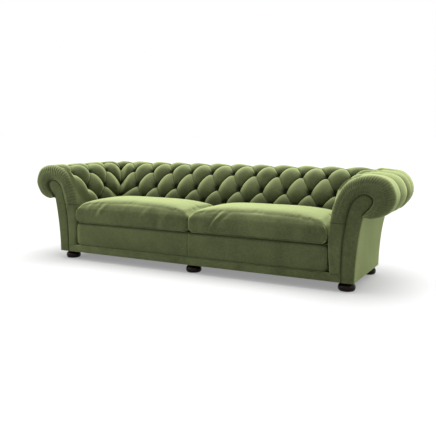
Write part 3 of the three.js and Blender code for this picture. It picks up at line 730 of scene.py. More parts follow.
class SofaColours(bpy.types.PropertyGroup):
    velvet: colour("Velvet", (0.088, 0.104, 0.044), "Colour of the pile seen straight on")
    # Painted sheen: the colour the pile is painted towards where it is seen from its side, and how far.
    painted_sheen_colour: colour("Velvet edge", (0.66, 0.76, 0.345), "Colour of the pile seen from its side")
    edge: factor("Edge strength", 0.9, "How far the pile lightens towards its edges")
    sheen_tint: colour("Sheen", (0.76, 0.9, 0.39), "Colour of the pile seen along the cloth")
    sheen: factor("Sheen strength", 0.6, "How strongly the pile shines along its edges")
    sheen_roughness: factor("Sheen roughness", 0.42, "Spread of the sheen")
    foot: colour("Feet", (0.010, 0.004, 0.002), "Stain of the feet")
    beech: colour("Frame", (0.60, 0.44, 0.27), "Colour of the frame's wood")
    lining: colour("Lining", (0.17, 0.16, 0.10), "Colour of the platform cloth")
    floor: colour("Floor", (0.57, 0.57, 0.57), "Colour of the floor")


# Buttoned padding


class SOFA_OT_inside_back(bpy.types.Operator):
    """Adds the deep-buttoned padding of the back, from the seat over the roll to its neck"""

    bl_idname = "sofa.inside_back"
    bl_label = "Inside back"

    def execute(self, context):
        levels = skin_levels(1.0)
        last = BACK_COLUMNS + TOP_ROW / 2
        columns = np.arange(-last, last + 1e-6, COLUMN_STEP)
        skin, tuft_shade = back_skin(*np.meshgrid(columns, levels), context.scene.sofa_sizes)
        corner = core_corner(levels)[:, None, :]
        across = np.linspace(1, -1, 9)[1:-1]
        core = corner * np.stack([across, np.ones_like(across), np.ones_like(across)], -1)[None]
        core[..., 2] = on_section(BACK_INNER, levels)[:, None, 1]
        loops = np.concatenate([skin, corner, core, corner * [-1, 1, 1]], 1)
        # Painted shade of the tufts on the skin and none on the core; it also picks each cell's fold.
        deep = np.concatenate([tuft_shade, np.zeros(loops.shape[:2])[:, columns.size:]], 1)
        faces = shell(*loops.shape[:2], columns.size, -deep)
        piece = mesh_object("inside_back_pad", loops, faces, {"crease_shade": deep})
        cover = velvet("Buttoned velvet", pleated=True, patch=0.16, strength=0.13)
        finish_piece(piece, cover, ["inside_back"])
        return {"FINISHED"}


def arm_front(level, turn):
    """The padded front of an arm, rolled through a quarter turn: the rim of its skin and its groove."""
    upper = smooth(BUTTON_LEVEL - 0.5, BUTTON_LEVEL + 0.5, level)
    bulge = mix(BAND_BULGE, FRONT_BULGE, upper)
    outer, inner = on_section(ARM_OUTER, level), on_section(ARM_INNER, level)
    thickness = np.linalg.norm(inner - outer, axis=-1)
    rim = np.minimum(mix(0.020, 0.046, upper), thickness * 0.4)
    groove = np.minimum(mix(0.012, 0.030, upper), thickness / 3.8)
    across = (inner - outer) / thickness[..., None]
    inset, depth = 1 - np.sin(turn), 1 - np.cos(turn)
    skin = outer + across * (rim * inset)[..., None]
    hidden = inner - across * (groove * inset)[..., None]
    return (np.stack([skin[..., 0], rim * depth - bulge, skin[..., 1]], -1),
            np.stack([hidden[..., 0], groove * depth - bulge, hidden[..., 1]], -1))


def arm_loops(sizes):
    """Loops of an arm's padding at each level: groove, padded front, rim, face and core."""
    low = np.arange(0, 0.999, 0.1)
    levels = np.concatenate([low, [1.0], skin_levels(1.0)])
    short = np.arange(levels.size) <= low.size
    lifted = levels[:, None]
    parts = []

    def put(points, crease_shade=0.0, gather=0.0):
        parts.append((points, *(np.broadcast_to(value, points.shape[:2]) for value in (crease_shade, gather))))

    flat, inner = on_section(ARM_OUTER, levels), on_section(ARM_INNER, levels)
    upper = smooth(SEAM_HEIGHT, SEAM_HEIGHT + 0.012, flat[:, 1])[:, None]
    groove = arm_front(lifted, np.linspace(np.pi / 2, 0, 6)[None])[1]
    # Painted shade in the groove between the facing and the padded front, darkest deepest in it.
    put(groove, 0.9 * np.linspace(1, 0, 6) ** 1.5, 0.5 * upper)
    skin, core = arm_front(lifted, np.zeros((1, 1)))
    share = np.linspace(0, 1, 12)[None, 1:-1, None]
    face = mix(core, skin, share)
    face[..., 1] -= mix(0.001, 0.005, upper) * np.sin(np.pi * share[..., 0])
    put(face, gather=upper * np.linspace(0.5, 1, 10))
    rim = arm_front(lifted, np.linspace(0, np.pi / 2, 12)[None])[0]
    put(rim, gather=upper * np.interp(np.linspace(0, 1, 12), [0, 0.45, 1], [1, 1, 0.05]))
    columns = np.arange(FIRST_ARM_COLUMN, ARM_COLUMNS + TOP_ROW / 2 + 1e-6, COLUMN_STEP)
    face, tuft_shade = arm_skin(*np.meshgrid(columns, levels), sizes)
    # Beside the border and the plinth an arm is only a short block.
    face[short, :, 1] = np.minimum(face[short, :, 1], PLINTH_DEPTH)
    face[short, :, 0], face[short, :, 2] = flat[short, None, 0], flat[short, None, 1]
    tuft_shade[short] = 0
    # The face carries the painted shade of its tufts.
    put(face, tuft_shade)
    skin_count = sum(part[0].shape[1] for part in parts)
    corner = core_corner(levels)[:, None, :]
    for share in (1.0, 0.7, 0.35, 0.0):
        point = corner.copy()
        point[..., 1] = mix(PLINTH_DEPTH, corner[..., 1], share)
        point[short, :, 1] = PLINTH_DEPTH
        point[..., 0], point[..., 2] = inner[:, None, 0], inner[:, None, 1]
        put(point)
    return *(np.concatenate(kind, 1) for kind in zip(*parts)), levels, skin_count


class SOFA_OT_inside_arms(bpy.types.Operator):
    """Adds the padding of both arms with their gathered fronts"""

    bl_idname = "sofa.inside_arms"
    bl_label = "Inside arms"

    def execute(self, context):
        loops, crease_shade, gather, levels, skin_count = arm_loops(context.scene.sofa_sizes)
        steps = np.linalg.norm(np.diff(on_section(ARM_OUTER, levels), axis=0), axis=1)
        along = np.repeat(np.concatenate([[0], np.cumsum(steps)])[:, None], loops.shape[1], 1)
        seam = loops[..., 2] - SEAM_HEIGHT
        gather = gather * mix(0.4, 1.0, smooth(0, 0.16, seam))
        below_roll = np.arange(levels.size)[:, None] < np.argmax(levels >= 3)
        seam = np.where((loops[..., 1] < 0.045) & below_roll, seam, UNSEAMED)
        faces = shell(*loops.shape[:2], skin_count, -crease_shade)
        for side, sign in SIDES:
            wide, strong = GATHERS[side]
            values = {"crease_shade": crease_shade, "gather": gather * strong, "gather_along": along * wide, "seam": seam}
            piece = mesh_object(side + "_arm_pad", loops * [sign, 1, 1], faces, values)
            cover = velvet("Gathered velvet", pleated=True, gathered=True, seamed=True, patch=0.16, strength=0.13)
            finish_piece(piece, cover, [side + "_inside_arm"])
        return {"FINISHED"}


def button_places(sizes):
    """Foot and raised point of every button, sorted by the pad that it is sewn to."""
    places = {"back": [], "right_arm": [], "left_arm": []}

    def ends(skin, column, level):
        return [skin(np.array([column]), np.array([level]), sizes, lift)[0][0] for lift in (0, 0.01)]

    for row in range(TOP_ROW + 1):
        level = float(BUTTON_LEVEL + row)
        # Every other row of buttons is moved by half a column.
        for half in range(-14 + row % 2, 14, 2):
            column = half / 2
            if abs(column) < BACK_COLUMNS + row / 2:
                places["back"].append(ends(back_skin, column, level))
            if column + row / 2 >= 1 and -0.1 < column < ARM_COLUMNS + row / 2:
                found = ends(arm_skin, column, level)
                places["right_arm"].append(found)
                places["left_arm"].append([end * [-1, 1, 1] for end in found])
    return places


class SOFA_OT_buttons(bpy.types.Operator):
    """Adds the covered buttons, one in each crossing of the pleats"""

    bl_idname = "sofa.buttons"
    bl_label = "Covered buttons"

    def execute(self, context):
        sizes = context.scene.sofa_sizes
        radius = sizes.button_radius
        bpy.ops.object.select_all(action="DESELECT")
        bpy.ops.mesh.primitive_circle_add(vertices=12, radius=radius * 0.9, fill_type="NGON")
        model = context.object
        bpy.ops.object.mode_set(mode="EDIT")
        bpy.ops.mesh.select_all(action="SELECT")
        for rise, share in BUTTON_STEPS:
            bpy.ops.mesh.extrude_region_move(TRANSFORM_OT_translate={"value": (0, 0, radius * rise)})
            bpy.ops.transform.resize(value=(share, share, 1))
        bpy.ops.mesh.select_all(action="SELECT")
        bpy.ops.mesh.normals_make_consistent(inside=False)
        bpy.ops.object.mode_set(mode="OBJECT")
        corners = points_of(model) - [0, 0, radius * 0.25]
        rings = [tuple(p.vertices) for p in model.data.polygons]
        bpy.data.objects.remove(model)
        for name, places in button_places(sizes).items():
            points, faces = [], []
            for foot, raised in places:
                turn = Vector(raised - foot).to_track_quat("Z", "Y").to_matrix()
                faces += [tuple(len(points) + k for k in ring) for ring in rings]
                points += list(corners @ np.array(turn).T + foot)
            piece = mesh_object(name + "_buttons", points, faces)
            # The buttons are painted almost black: painted shade for the deep pits they sit in.
            finish_piece(piece, velvet("Button velvet", patch=0.02, strength=0.1, shade=0.06), angle=60)
        return {"FINISHED"}


# Facings, outside panels, plinth and border

PANEL_BOTTOM = 0.058
PANEL_THICKNESS = 0.008
PANEL_EDGE = 0.003
PANEL_SWELL = 0.003
PANEL_ROUNDING = ((0.0, PANEL_EDGE), (0.001, 0.001), (PANEL_EDGE, 0.0))
FACING_ROUNDING = 0.004
FACING_SWELL = 0.0025
BORDER_FACE, BORDER_BULGE, BORDER_CORNER = 0.002, 0.014, 0.028


def panel_share(height, power):
    return np.clip((height - PANEL_BOTTOM) / (NECK_HEIGHT - PANEL_BOTTOM), 0, None) ** power


def arm_panel_x(height):
    return mix(ARM_FOOT, ARM_NECK, panel_share(height, 2))


def back_panel_y(height):
    return mix(BACK_FOOT, BACK_NECK, panel_share(height, 6))


def facing_sides():
    """The two long sides of an arm facing, up from the foot: round the scroll, and up the outside."""
    face = on_section(ARM_INNER, np.linspace(1, LAST_LEVEL, 90), -CLEARANCE)
    start = across_at(ARM_INNER, PLINTH_TOP) + CLEARANCE
    foot = np.concatenate([PANEL_BOTTOM + np.array([0, 0.001, 0.003, 0.008]),
                           np.linspace(PANEL_BOTTOM + 0.02, face[0, 1] - 0.01, 8)])
    front = np.interp(foot, [PANEL_BOTTOM, PLINTH_TOP, face[0, 1]], [start, start, face[0, 0]])
    scroll = np.concatenate([np.stack([front, foot], 1), face])
    heights = np.minimum(np.maximum.accumulate(scroll[:, 1]), NECK_HEIGHT)
    return scroll, np.stack([arm_panel_x(heights), heights], 1)


def distance_to(grid, outline):
    """How far each point of a grid lies from a closed outline."""
    points = grid.reshape(-1, 2)
    way = np.roll(outline, -1, 0) - outline
    length = np.maximum((way**2).sum(1), 1e-12)
    share = np.clip(((points[:, None] - outline) * way).sum(2) / length, 0, 1)
    away = np.linalg.norm(points[:, None] - outline - share[..., None] * way, axis=2).min(1)
    return away.reshape(grid.shape[:2])


class SOFA_OT_arm_facings(bpy.types.Operator):
    """Adds the padded scroll panels on the fronts of the arms"""

    bl_idname = "sofa.arm_facings"
    bl_label = "Arm facings"

    def execute(self, context):
        scroll, outside = facing_sides()
        width = np.linalg.norm(outside - scroll, axis=1)[:, None]
        near = np.array([[0, 0.0009, 0.0022, 0.004, 0.008, 0.016]])
        inset = near * np.minimum(1, width / 0.05) / np.maximum(width, 1e-9)
        middle = inset[:, -1:] + (1 - 2 * inset[:, -1:]) * np.linspace(0, 1, 8)[None, 1:-1]
        share = np.concatenate([inset, middle, 1 - inset[:, ::-1]], 1)[..., None]
        grid = mix(scroll[:, None], outside[:, None], share)
        away = distance_to(grid, np.concatenate([scroll, outside[::-1]]))
        edge = np.clip(1 - away / FACING_ROUNDING, 0, 1)
        depth = FACING_ROUNDING * (1 - np.sqrt(1 - edge**2)) - FACING_SWELL * smooth(0.002, 0.028, away)
        # Painted shade along the scroll side, where the padded band shades the facing.
        tucked = distance_to(grid, np.concatenate([scroll, scroll[::-1]]))
        crease_shade = 0.85 * np.exp(-((tucked / 0.007) ** 2))
        rim = grid_rim(*grid.shape[:2])
        front = np.stack([grid[..., 0], depth, grid[..., 1]], -1).reshape(-1, 3)
        points = np.concatenate([front, front[rim] * [1, 0, 1] + [0, FACING_THICKNESS, 0]])
        behind = [len(front) + k for k in range(len(rim))]
        faces = grid_faces(*grid.shape[:2]) + wall(rim, behind) + [tuple(behind)]
        # The back of a facing is painted in full shade.
        values = {"crease_shade": np.concatenate([crease_shade.ravel(), np.ones(len(rim))])}
        for side, sign in SIDES:
            piece = mesh_object(side + "_facing_panel", points * [sign, 1, 1], faces, values)
            # A shaded copy of the one velvet, painted a touch darker.
            cover = velvet("Facing velvet", pleated=True, patch=0.2, strength=0.12, shade=0.98)
            finish_piece(piece, cover, [side + "_arm_facing"], angle=60)
        return {"FINISHED"}


def panel_line(first, last, cuts, height):
    """Places along an outside panel, and how far its cover stands before the panel's face there."""
    way = math.copysign(1, last - first)
    line = [(first + way * along, -down) for along, down in PANEL_ROUNDING]
    line += [(place, 0.0) for place in np.linspace(first + way * 0.02, last - way * 0.02, cuts)]
    line += [(last - way * along, -down) for along, down in reversed(PANEL_ROUNDING)]
    up = max(0.0, math.sin(math.pi * (height - PANEL_BOTTOM) / (NECK_HEIGHT - PANEL_BOTTOM)))
    swell = (max(0.0, math.sin(math.pi * (place - first) / (last - first))) for place, _ in line)
    return [(place, out + PANEL_SWELL * (s * up) ** 0.7) for (place, out), s in zip(line, swell)]


class SOFA_OT_outside_panels(bpy.types.Operator):
    """Adds the plain covered panels outside the arms and the back"""

    bl_idname = "sofa.outside_panels"
    bl_label = "Outside arms and back"

    def execute(self, context):
        rows = [(PANEL_BOTTOM + up, draw) for up, draw in PANEL_ROUNDING]
        rows += [(z, 0.0) for z in np.linspace(PANEL_BOTTOM + 0.012, NECK_HEIGHT - 0.012, 22)]
        rows += [(NECK_HEIGHT - down, draw) for down, draw in reversed(PANEL_ROUNDING)]
        # A lit copy of the one velvet, painted much lighter for the light on the outside panels.
        cover = velvet("Outside velvet", patch=0.3, strength=0.09, shade=1.95)
        front = FACING_THICKNESS + CLEARANCE
        for side, sign in SIDES:
            loops = []
            for z, draw in rows:
                x, rear = arm_panel_x(z), back_panel_y(z)
                loop = [(sign * (x + out - draw), y, z) for y, out in panel_line(front, rear, 26, z)]
                inner = sign * (x - PANEL_THICKNESS)
                loops.append(loop + [(inner, rear, z), (inner, front, z)])
            piece = lofted(side + "_outside_arm_panel", np.array(loops))
            finish_piece(piece, cover, [side + "_outside_arm"])
        loops = []
        for z, draw in rows:
            half, y = arm_panel_x(z) - PANEL_THICKNESS - CLEARANCE, back_panel_y(z)
            loop = [(x, y + out - draw, z) for x, out in panel_line(half, -half, 60, z)]
            inner = y - PANEL_THICKNESS
            loops.append(loop + [(-half, inner, z), (half, inner, z)])
        piece = lofted("outside_back_panel", np.array(loops))
        finish_piece(piece, cover, ["outside_back"])
        return {"FINISHED"}


class SOFA_OT_plinth(bpy.types.Operator):
    """Adds the covered plinth along the front"""

    bl_idname = "sofa.plinth"
    bl_label = "Front plinth"

    def execute(self, context):
        low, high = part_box("front_plinth")
        bpy.ops.object.select_all(action="DESELECT")
        bpy.ops.mesh.primitive_cube_add(size=1, location=(low + high) / 2, scale=high - low)
        piece = context.object
        piece.name = piece.data.name = "front_plinth_cover"
        bpy.ops.object.transform_apply(location=True, rotation=True, scale=True)
        bpy.ops.object.mode_set(mode="EDIT")
        bpy.ops.mesh.select_all(action="SELECT")
        bpy.ops.mesh.subdivide(number_cuts=1)
        bpy.ops.mesh.select_all(action="DESELECT")
        bpy.ops.object.mode_set(mode="OBJECT")
        applied(piece, "BEVEL", width=0.005, segments=4, limit_method="ANGLE")
        middle = (low.z + high.z) / 2
        for corner in piece.data.vertices:
            if corner.co.y < low.y + 0.001 and abs(corner.co.z - middle) < 0.001:
                corner.co.y -= 0.0015
        # A lit copy of the one velvet, painted a little lighter.
        cover = velvet("Plinth velvet", patch=0.2, strength=0.15, shade=1.1)
        finish_piece(piece, cover, ["front_plinth"])
        return {"FINISHED"}


class SOFA_OT_seat_border(bpy.types.Operator):
    """Adds the padded border under the cushions, seamed in the middle and rounded at its ends"""

    bl_idname = "sofa.seat_border"
    bl_label = "Seat border"

    def execute(self, context):
        low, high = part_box("seat_border")
        half, foot, top, rear = high.x, low.z, high.z, high.y - FACING
        arm_gaps = [across_at(ARM_OUTER, z) - half - 0.0008 for z in (foot, top)]
        turn = np.linspace(-np.pi / 2, np.pi / 2, 19)
        rise = np.sign(np.sin(turn)) * np.abs(np.sin(turn)) ** 0.85
        stations = np.unique(np.concatenate([
            [0, 0.0008, 0.002, 0.004, 0.007, 0.012], np.linspace(0.02, half - 0.06, 60),
            half - 0.06 + 0.06 * np.sin(np.linspace(0, np.pi / 2, 16))]))
        loops, seams, crease_shades = [], [], []
        for x in np.concatenate([-stations[:0:-1], stations]):
            gap = half - abs(x)
            pinch = BORDER_CORNER * (1 - math.sqrt(max(0.0, 1 - (1 - min(1.0, gap / BORDER_CORNER)) ** 2)))
            seam = context.scene.sofa_sizes.seam_depth * math.exp(-((x / 0.004) ** 2))
            bulge = BORDER_BULGE * (1 - 0.9 * (1 - min(1.0, gap / 0.05)) ** 2) - seam
            z0, z1 = foot + pinch, top - pinch
            z = (z0 + z1) / 2 + (z1 - z0) / 2 * rise
            y = BORDER_FACE + 0.011 * (1 - np.cos(turn) ** 0.45) - bulge * np.cos(turn) ** 0.62
            reach = math.copysign(float(smooth(half - 0.03, half, abs(x))), x)
            low_x, high_x = (x + reach * arm_gap for arm_gap in arm_gaps)
            loop = [(low_x, rear, foot), (low_x, 0.018, foot), (low_x, 0.010, foot + 0.001)]
            loop += list(zip(np.full(z.size, x), y, z))
            loop += [(high_x, 0.010, top - 0.001), (high_x, 0.018, top), (high_x, rear, top)]
            loops.append(loop)
            seams.append([abs(x)] * len(loop))
            # Painted shade along the top and bottom of the border, where the cushions and the plinth shade it.
            height = np.array(loop)[:, 2]
            tuck = np.maximum(np.minimum(height - z0, z1 - height), 0)
            crease_shades.append(0.9 * np.exp(-((tuck / 0.010) ** 2)))
        values = {"seam": np.array(seams), "crease_shade": np.array(crease_shades)}
        piece = lofted("seat_border_pad", np.array(loops), values)
        cover = velvet("Border velvet", pleated=True, seamed=True, patch=0.2, strength=0.11)
        finish_piece(piece, cover, ["seat_border"], angle=60)
        return {"FINISHED"}


# Seat cushions

CUSHION_INNER, CUSHION_OUTER = 0.0025, SEAT_HALF_WIDTH - 0.005
CUSHION_FRONT, CUSHION_REAR = -0.020, BACK_FACE - 0.048
CUSHION_HEIGHT, CUSHION_CROWN = 0.129, 0.046
CUSHION_CUTS = (96, 48, 14)
CUSHION_SHRINK = np.array([0.004, 0.004, 0.003])
REMESH_SIZE = 0.008
CLOTH_STEPS = 20
CLOTH_SETTINGS = {
    "quality": 4, "mass": 0.3, "tension_stiffness": 8, "compression_stiffness": 8, "shear_stiffness": 4,
    "bending_stiffness": 0.6, "use_pressure": True, "uniform_pressure_force": 4, "shrink_min": -0.012,
}
# Soft folds on the front of the cushions: start and end (x, height above the seat), half width, rise.
FOLDS = [
    ((0.262, 0.150), (0.176, 0.050), 0.012, 0.0062),
    ((0.226, 0.148), (0.146, 0.036), 0.010, -0.0046),
    ((0.296, 0.146), (0.214, 0.072), 0.013, -0.0040),
    ((0.160, 0.120), (0.220, 0.040), 0.022, 0.0026),
    ((0.640, 0.140), (0.600, 0.070), 0.024, 0.0020),
    ((-0.690, 0.146), (-0.760, 0.044), 0.017, 0.0038),
    ((-0.725, 0.146), (-0.800, 0.050), 0.015, -0.0030),
    ((-0.820, 0.140), (-0.860, 0.070), 0.018, 0.0024),
    ((-0.300, 0.146), (-0.390, 0.058), 0.024, 0.0030),
    ((-0.345, 0.140), (-0.430, 0.050), 0.020, -0.0022),
    ((-0.500, 0.146), (-0.540, 0.080), 0.026, 0.0018),
]


def cushion_cube():
    """A cube from -1 to 1 along each axis that is cut into squares."""
    bpy.ops.object.select_all(action="DESELECT")
    bpy.ops.mesh.primitive_cube_add(size=2)
    cube = bpy.context.object
    work = bmesh.new()
    work.from_mesh(cube.data)
    for axis, count in enumerate(CUSHION_CUTS):
        normal = np.eye(3)[axis]
        for k in range(1, count):
            bmesh.ops.bisect_plane(work, geom=work.verts[:] + work.edges[:] + work.faces[:],
                                   plane_co=normal * (-1 + 2 * k / count), plane_no=normal)
    work.to_mesh(cube.data)
    work.free()
    return cube


def cushion_shape(unit, half):
    """Turns points of the cube into a boxed cushion that is crowned, swollen and drawn in at its sides."""
    radius = mix(0.022, 0.034, smooth(-0.3, 0.7, unit[:, 2:]))
    raw = half * np.sin(unit * np.pi / 2)
    core = np.sign(raw) * np.minimum(np.abs(raw), half - radius)
    off = raw - core
    off *= radius / np.maximum(np.linalg.norm(off, axis=1, keepdims=True), 1e-9)
    point = core + off
    u, v, w = (point / half).T
    waist = 0.008 * (1 - w * w) - 0.009
    crown = CUSHION_CROWN * np.maximum(0, w) * (1 - u**4) * (1 - v**4)
    return point + np.stack([waist * u**5 * (1 - v * v), waist * v**5 * (1 - u * u), crown], 1)


def blown_up(piece, limit):
    """Lets a filling press the cover out: cloth with pressure, and no point moves further than the limit."""
    before = points_of(piece)
    outwards = np.array([corner.normal for corner in piece.data.vertices])
    only(piece)
    modifier = piece.modifiers.new("Filling", "CLOTH")
    for key, value in CLOTH_SETTINGS.items():
        setattr(modifier.settings, key, value)
    modifier.settings.effector_weights.gravity = 0
    modifier.collision_settings.use_collision = False
    modifier.collision_settings.use_self_collision = False
    modifier.point_cache.frame_start, modifier.point_cache.frame_end = 1, CLOTH_STEPS
    for step in range(1, CLOTH_STEPS + 1):
        bpy.context.scene.frame_set(step)
    bpy.ops.object.modifier_apply(modifier=modifier.name)
    bpy.context.scene.frame_set(1)
    move = points_of(piece) - before
    inwards = np.minimum((move * outwards).sum(1, keepdims=True), 0)
    move -= 0.9 * inwards * outwards
    length = np.linalg.norm(move, axis=1, keepdims=True)
    place_points(piece, before + move * np.minimum(1, limit / np.maximum(length, 1e-9)))


def fold_front(co, normal, seat):
    """Raises the soft folds on the front of a cushion."""
    at = np.stack([co[:, 0], co[:, 2] - seat], 1)
    front = smooth(0.30, 0.0, co[:, 1] - FACING) * smooth(0.0, 0.5, -normal[:, 1] + 0.35 * normal[:, 2])
    move = np.zeros(len(co))
    for start, end, width, rise in FOLDS:
        a, way = np.array(start), np.array(end) - np.array(start)
        along = np.clip(((at - a) @ way) / (way @ way), 0, 1)
        away = np.linalg.norm(at - (a + along[:, None] * way), axis=1)
        move += rise * np.exp(-((away / width) ** 2)) * np.sin(np.pi * np.clip(along * 0.9 + 0.1, 0, 1)) ** 0.6
    return co + normal * (move * front)[:, None]


def settle(piece, sign, seat):
    """Folds a cushion's front, lets its edges swell and hang, and flattens what rests on something."""
    co = points_of(piece)
    normal = np.array([corner.normal for corner in piece.data.vertices])
    above = co[:, 2] - seat
    height = above / CUSHION_HEIGHT
    co = fold_front(co, normal, seat)
    ahead = smooth(0.0, -0.018, co[:, 1] - FACING)
    out = smooth(0.86, 0.955, np.abs(co[:, 0])) * np.sin(np.pi * np.clip(height, 0, 1)) ** 0.7
    co[:, 0] += sign * 0.032 * ahead * out
    along = np.clip(1 - ((np.abs(co[:, 0]) - 0.48) / 0.48) ** 8, 0, 1)
    co[:, 2] -= 0.011 * ahead * smooth(0.30, 0.02, height) * along
    rng = np.random.default_rng(7)
    waves = rng.normal(size=(6, 2)) * [7, 9]
    phases = rng.uniform(0, math.tau, 6)
    ripple = sum(np.sin(co[:, 0] * a + co[:, 1] * b + p) for (a, b), p in zip(waves, phases)) / 6
    co[:, 2] += 0.0035 * ripple * smooth(0.09, 0.16, above)
    place_points(piece, co)
    applied(piece, "SMOOTH", factor=0.5, iterations=6)
    co = points_of(piece)
    resting = co[:, 1] > FACING - 0.012
    co[:, 2] = np.where(resting, np.maximum(co[:, 2], seat + 0.0002), co[:, 2])
    # The two cushions press on each other, and their front ends reach out before the arms.
    beside = smooth(0.05, 0.0, np.abs(co[:, 0])) * smooth(0.0, 0.3, height) * smooth(1.0, 0.7, height)
    outer = CUSHION_OUTER + mix(0.002, 0.034, smooth(-0.006, -0.018, co[:, 1] - FACING))
    co[:, 0] = sign * np.clip(sign * co[:, 0] - 0.012 * beside, CUSHION_INNER - 0.0015, outer)
    co[:, 1] = np.minimum(co[:, 1], FACING + CUSHION_REAR + 0.001)
    place_points(piece, co)
    seam = np.where(np.abs(normal[:, 2]) < 0.85, np.abs(co[:, 2] - (seat + 0.012)), UNSEAMED)
    # Painted shade along the bottom of the cushion, where it rests on the seat.
    mark(piece.data, {"seam": seam, "crease_shade": 0.8 * smooth(0.012, 0.0, co[:, 2] - seat + 0.010 * ahead)})


class SOFA_OT_seat_cushions(bpy.types.Operator):
    """Adds the two loose seat cushions, filled and softly creased"""

    bl_idname = "sofa.seat_cushions"
    bl_label = "Seat cushions"

    def execute(self, context):
        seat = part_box("right_seat_cushion")[0].z
        low = np.array([CUSHION_INNER, CUSHION_FRONT, seat])
        high = np.array([CUSHION_OUTER, CUSHION_REAR, seat + CUSHION_HEIGHT])
        for side, sign in SIDES:
            piece = cushion_cube()
            piece.name = piece.data.name = side + "_cushion"
            point = cushion_shape(points_of(piece), (high - low) / 2 - CUSHION_SHRINK) + (low + high) / 2
            place_points(piece, point * [sign, 1, 1] + [0, FACING, 0])
            close_up(piece)
            piece.data.remesh_voxel_size = REMESH_SIZE
            only(piece)
            bpy.ops.object.voxel_remesh()
            blown_up(piece, context.scene.sofa_sizes.cushion_growth)
            applied(piece, "SUBSURF", levels=1, render_levels=1)
            settle(piece, sign, seat)
            cover = velvet("Cushion velvet", pleated=True, seamed=True, patch=0.16, strength=0.2)
            finish_piece(piece, cover, [side + "_seat_cushion"], body=side + "_cushion", angle=70)
        return {"FINISHED"}


# Feet, platform, dust cover and frame

# Outline of a foot from the floor up: radius and height as shares.
FOOT_PROFILE = (
    (0.70, 0.0), (0.86, 0.03), (0.95, 0.13), (0.995, 0.27), (1.0, 0.40), (0.975, 0.54), (0.91, 0.66),
    (0.81, 0.75), (0.765, 0.785), (0.735, 0.80), (0.72, 0.83), (0.74, 0.855), (0.79, 0.87), (0.80, 0.90),
    (0.80, 1.0),
)
FOOT_HEIGHT = 0.0577
STUD_RADIUS = 0.005
PLATFORM_GRID = (21, 61)
PLATFORM_GAP, PLATFORM_DIP = 0.0006, 0.003
STUD_HOLE = 0.018
DUST_SAG = 0.0010


class SOFA_OT_feet(bpy.types.Operator):
    """Turns the six bun feet"""

    bl_idname = "sofa.feet"
    bl_label = "Bun feet"

    def execute(self, context):
        stain = context.scene.sofa_colours.foot
        finish = wood("Polished wood", stain, tuple(0.45 * c for c in stain), 0.2, (8, 8, 1),
                      ring_scale=3.0, depth=0.00004, shine=0.14)
        for name in sorted(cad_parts):
            if not name.endswith("_foot"):
                continue
            low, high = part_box(name)
            radius = (high.x - low.x) / 2
            pivot = ((low.x + high.x) / 2, (low.y + high.y) / 2, 0)
            bpy.ops.object.select_all(action="DESELECT")
            bpy.ops.mesh.primitive_circle_add(
                vertices=48, radius=radius * FOOT_PROFILE[0][0], fill_type="NGON", location=pivot)
            piece = context.object
            piece.name = piece.data.name = name.replace("_foot", "_bun")
            bpy.ops.object.transform_apply(location=True, rotation=True, scale=True)
            bpy.ops.object.mode_set(mode="EDIT")
            bpy.ops.mesh.select_all(action="SELECT")
            for (r0, z0), (r1, z1) in zip(FOOT_PROFILE, FOOT_PROFILE[1:]):
                rise = (0, 0, (z1 - z0) * FOOT_HEIGHT)
                bpy.ops.mesh.extrude_region_move(TRANSFORM_OT_translate={"value": rise})
                bpy.ops.transform.resize(value=(r1 / r0, r1 / r0, 1), center_override=pivot)
            bpy.ops.mesh.inset(thickness=radius * FOOT_PROFILE[-1][0] - STUD_RADIUS)
            bpy.ops.mesh.extrude_region_move(TRANSFORM_OT_translate={"value": (0, 0, high.z - FOOT_HEIGHT)})
            bpy.ops.mesh.select_all(action="SELECT")
            bpy.ops.mesh.normals_make_consistent(inside=False)
            bpy.ops.object.mode_set(mode="OBJECT")
            finish_piece(piece, finish, [name], angle=40)
        return {"FINISHED"}


class SOFA_OT_seat_platform(bpy.types.Operator):
    """Adds the lined platform that the cushions rest on"""

    bl_idname = "sofa.seat_platform"
    bl_label = "Seat platform"

    def execute(self, context):
        low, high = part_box("seat_platform")
        rows, count = PLATFORM_GRID
        y, x = np.meshgrid(np.linspace(low.y, high.y, rows), np.linspace(low.x, high.x, count), indexing="ij")
        # The lining dips a little between the springs.
        dip = np.cos(np.pi * 7 * x / (high.x - low.x)) ** 4 * np.sin(np.pi * (y - low.y) / (high.y - low.y))
        heights = (high.z - PLATFORM_GAP - PLATFORM_DIP * dip, np.full(x.shape, low.z))
        points = np.stack([np.stack([x, y - FACING, z], -1) for z in heights])
        squares, rim, total = grid_faces(rows, count), grid_rim(rows, count), rows * count
        faces = squares + [tuple(total + k for k in square[::-1]) for square in squares]
        faces += wall(rim, [total + k for k in rim])
        piece = mesh_object("seat_platform_pad", points, faces)
        lining = cloth("Platform lining", context.scene.sofa_colours.lining, 0.0014, 0.12)
        finish_piece(piece, lining, ["seat_platform"], angle=40)
        return {"FINISHED"}


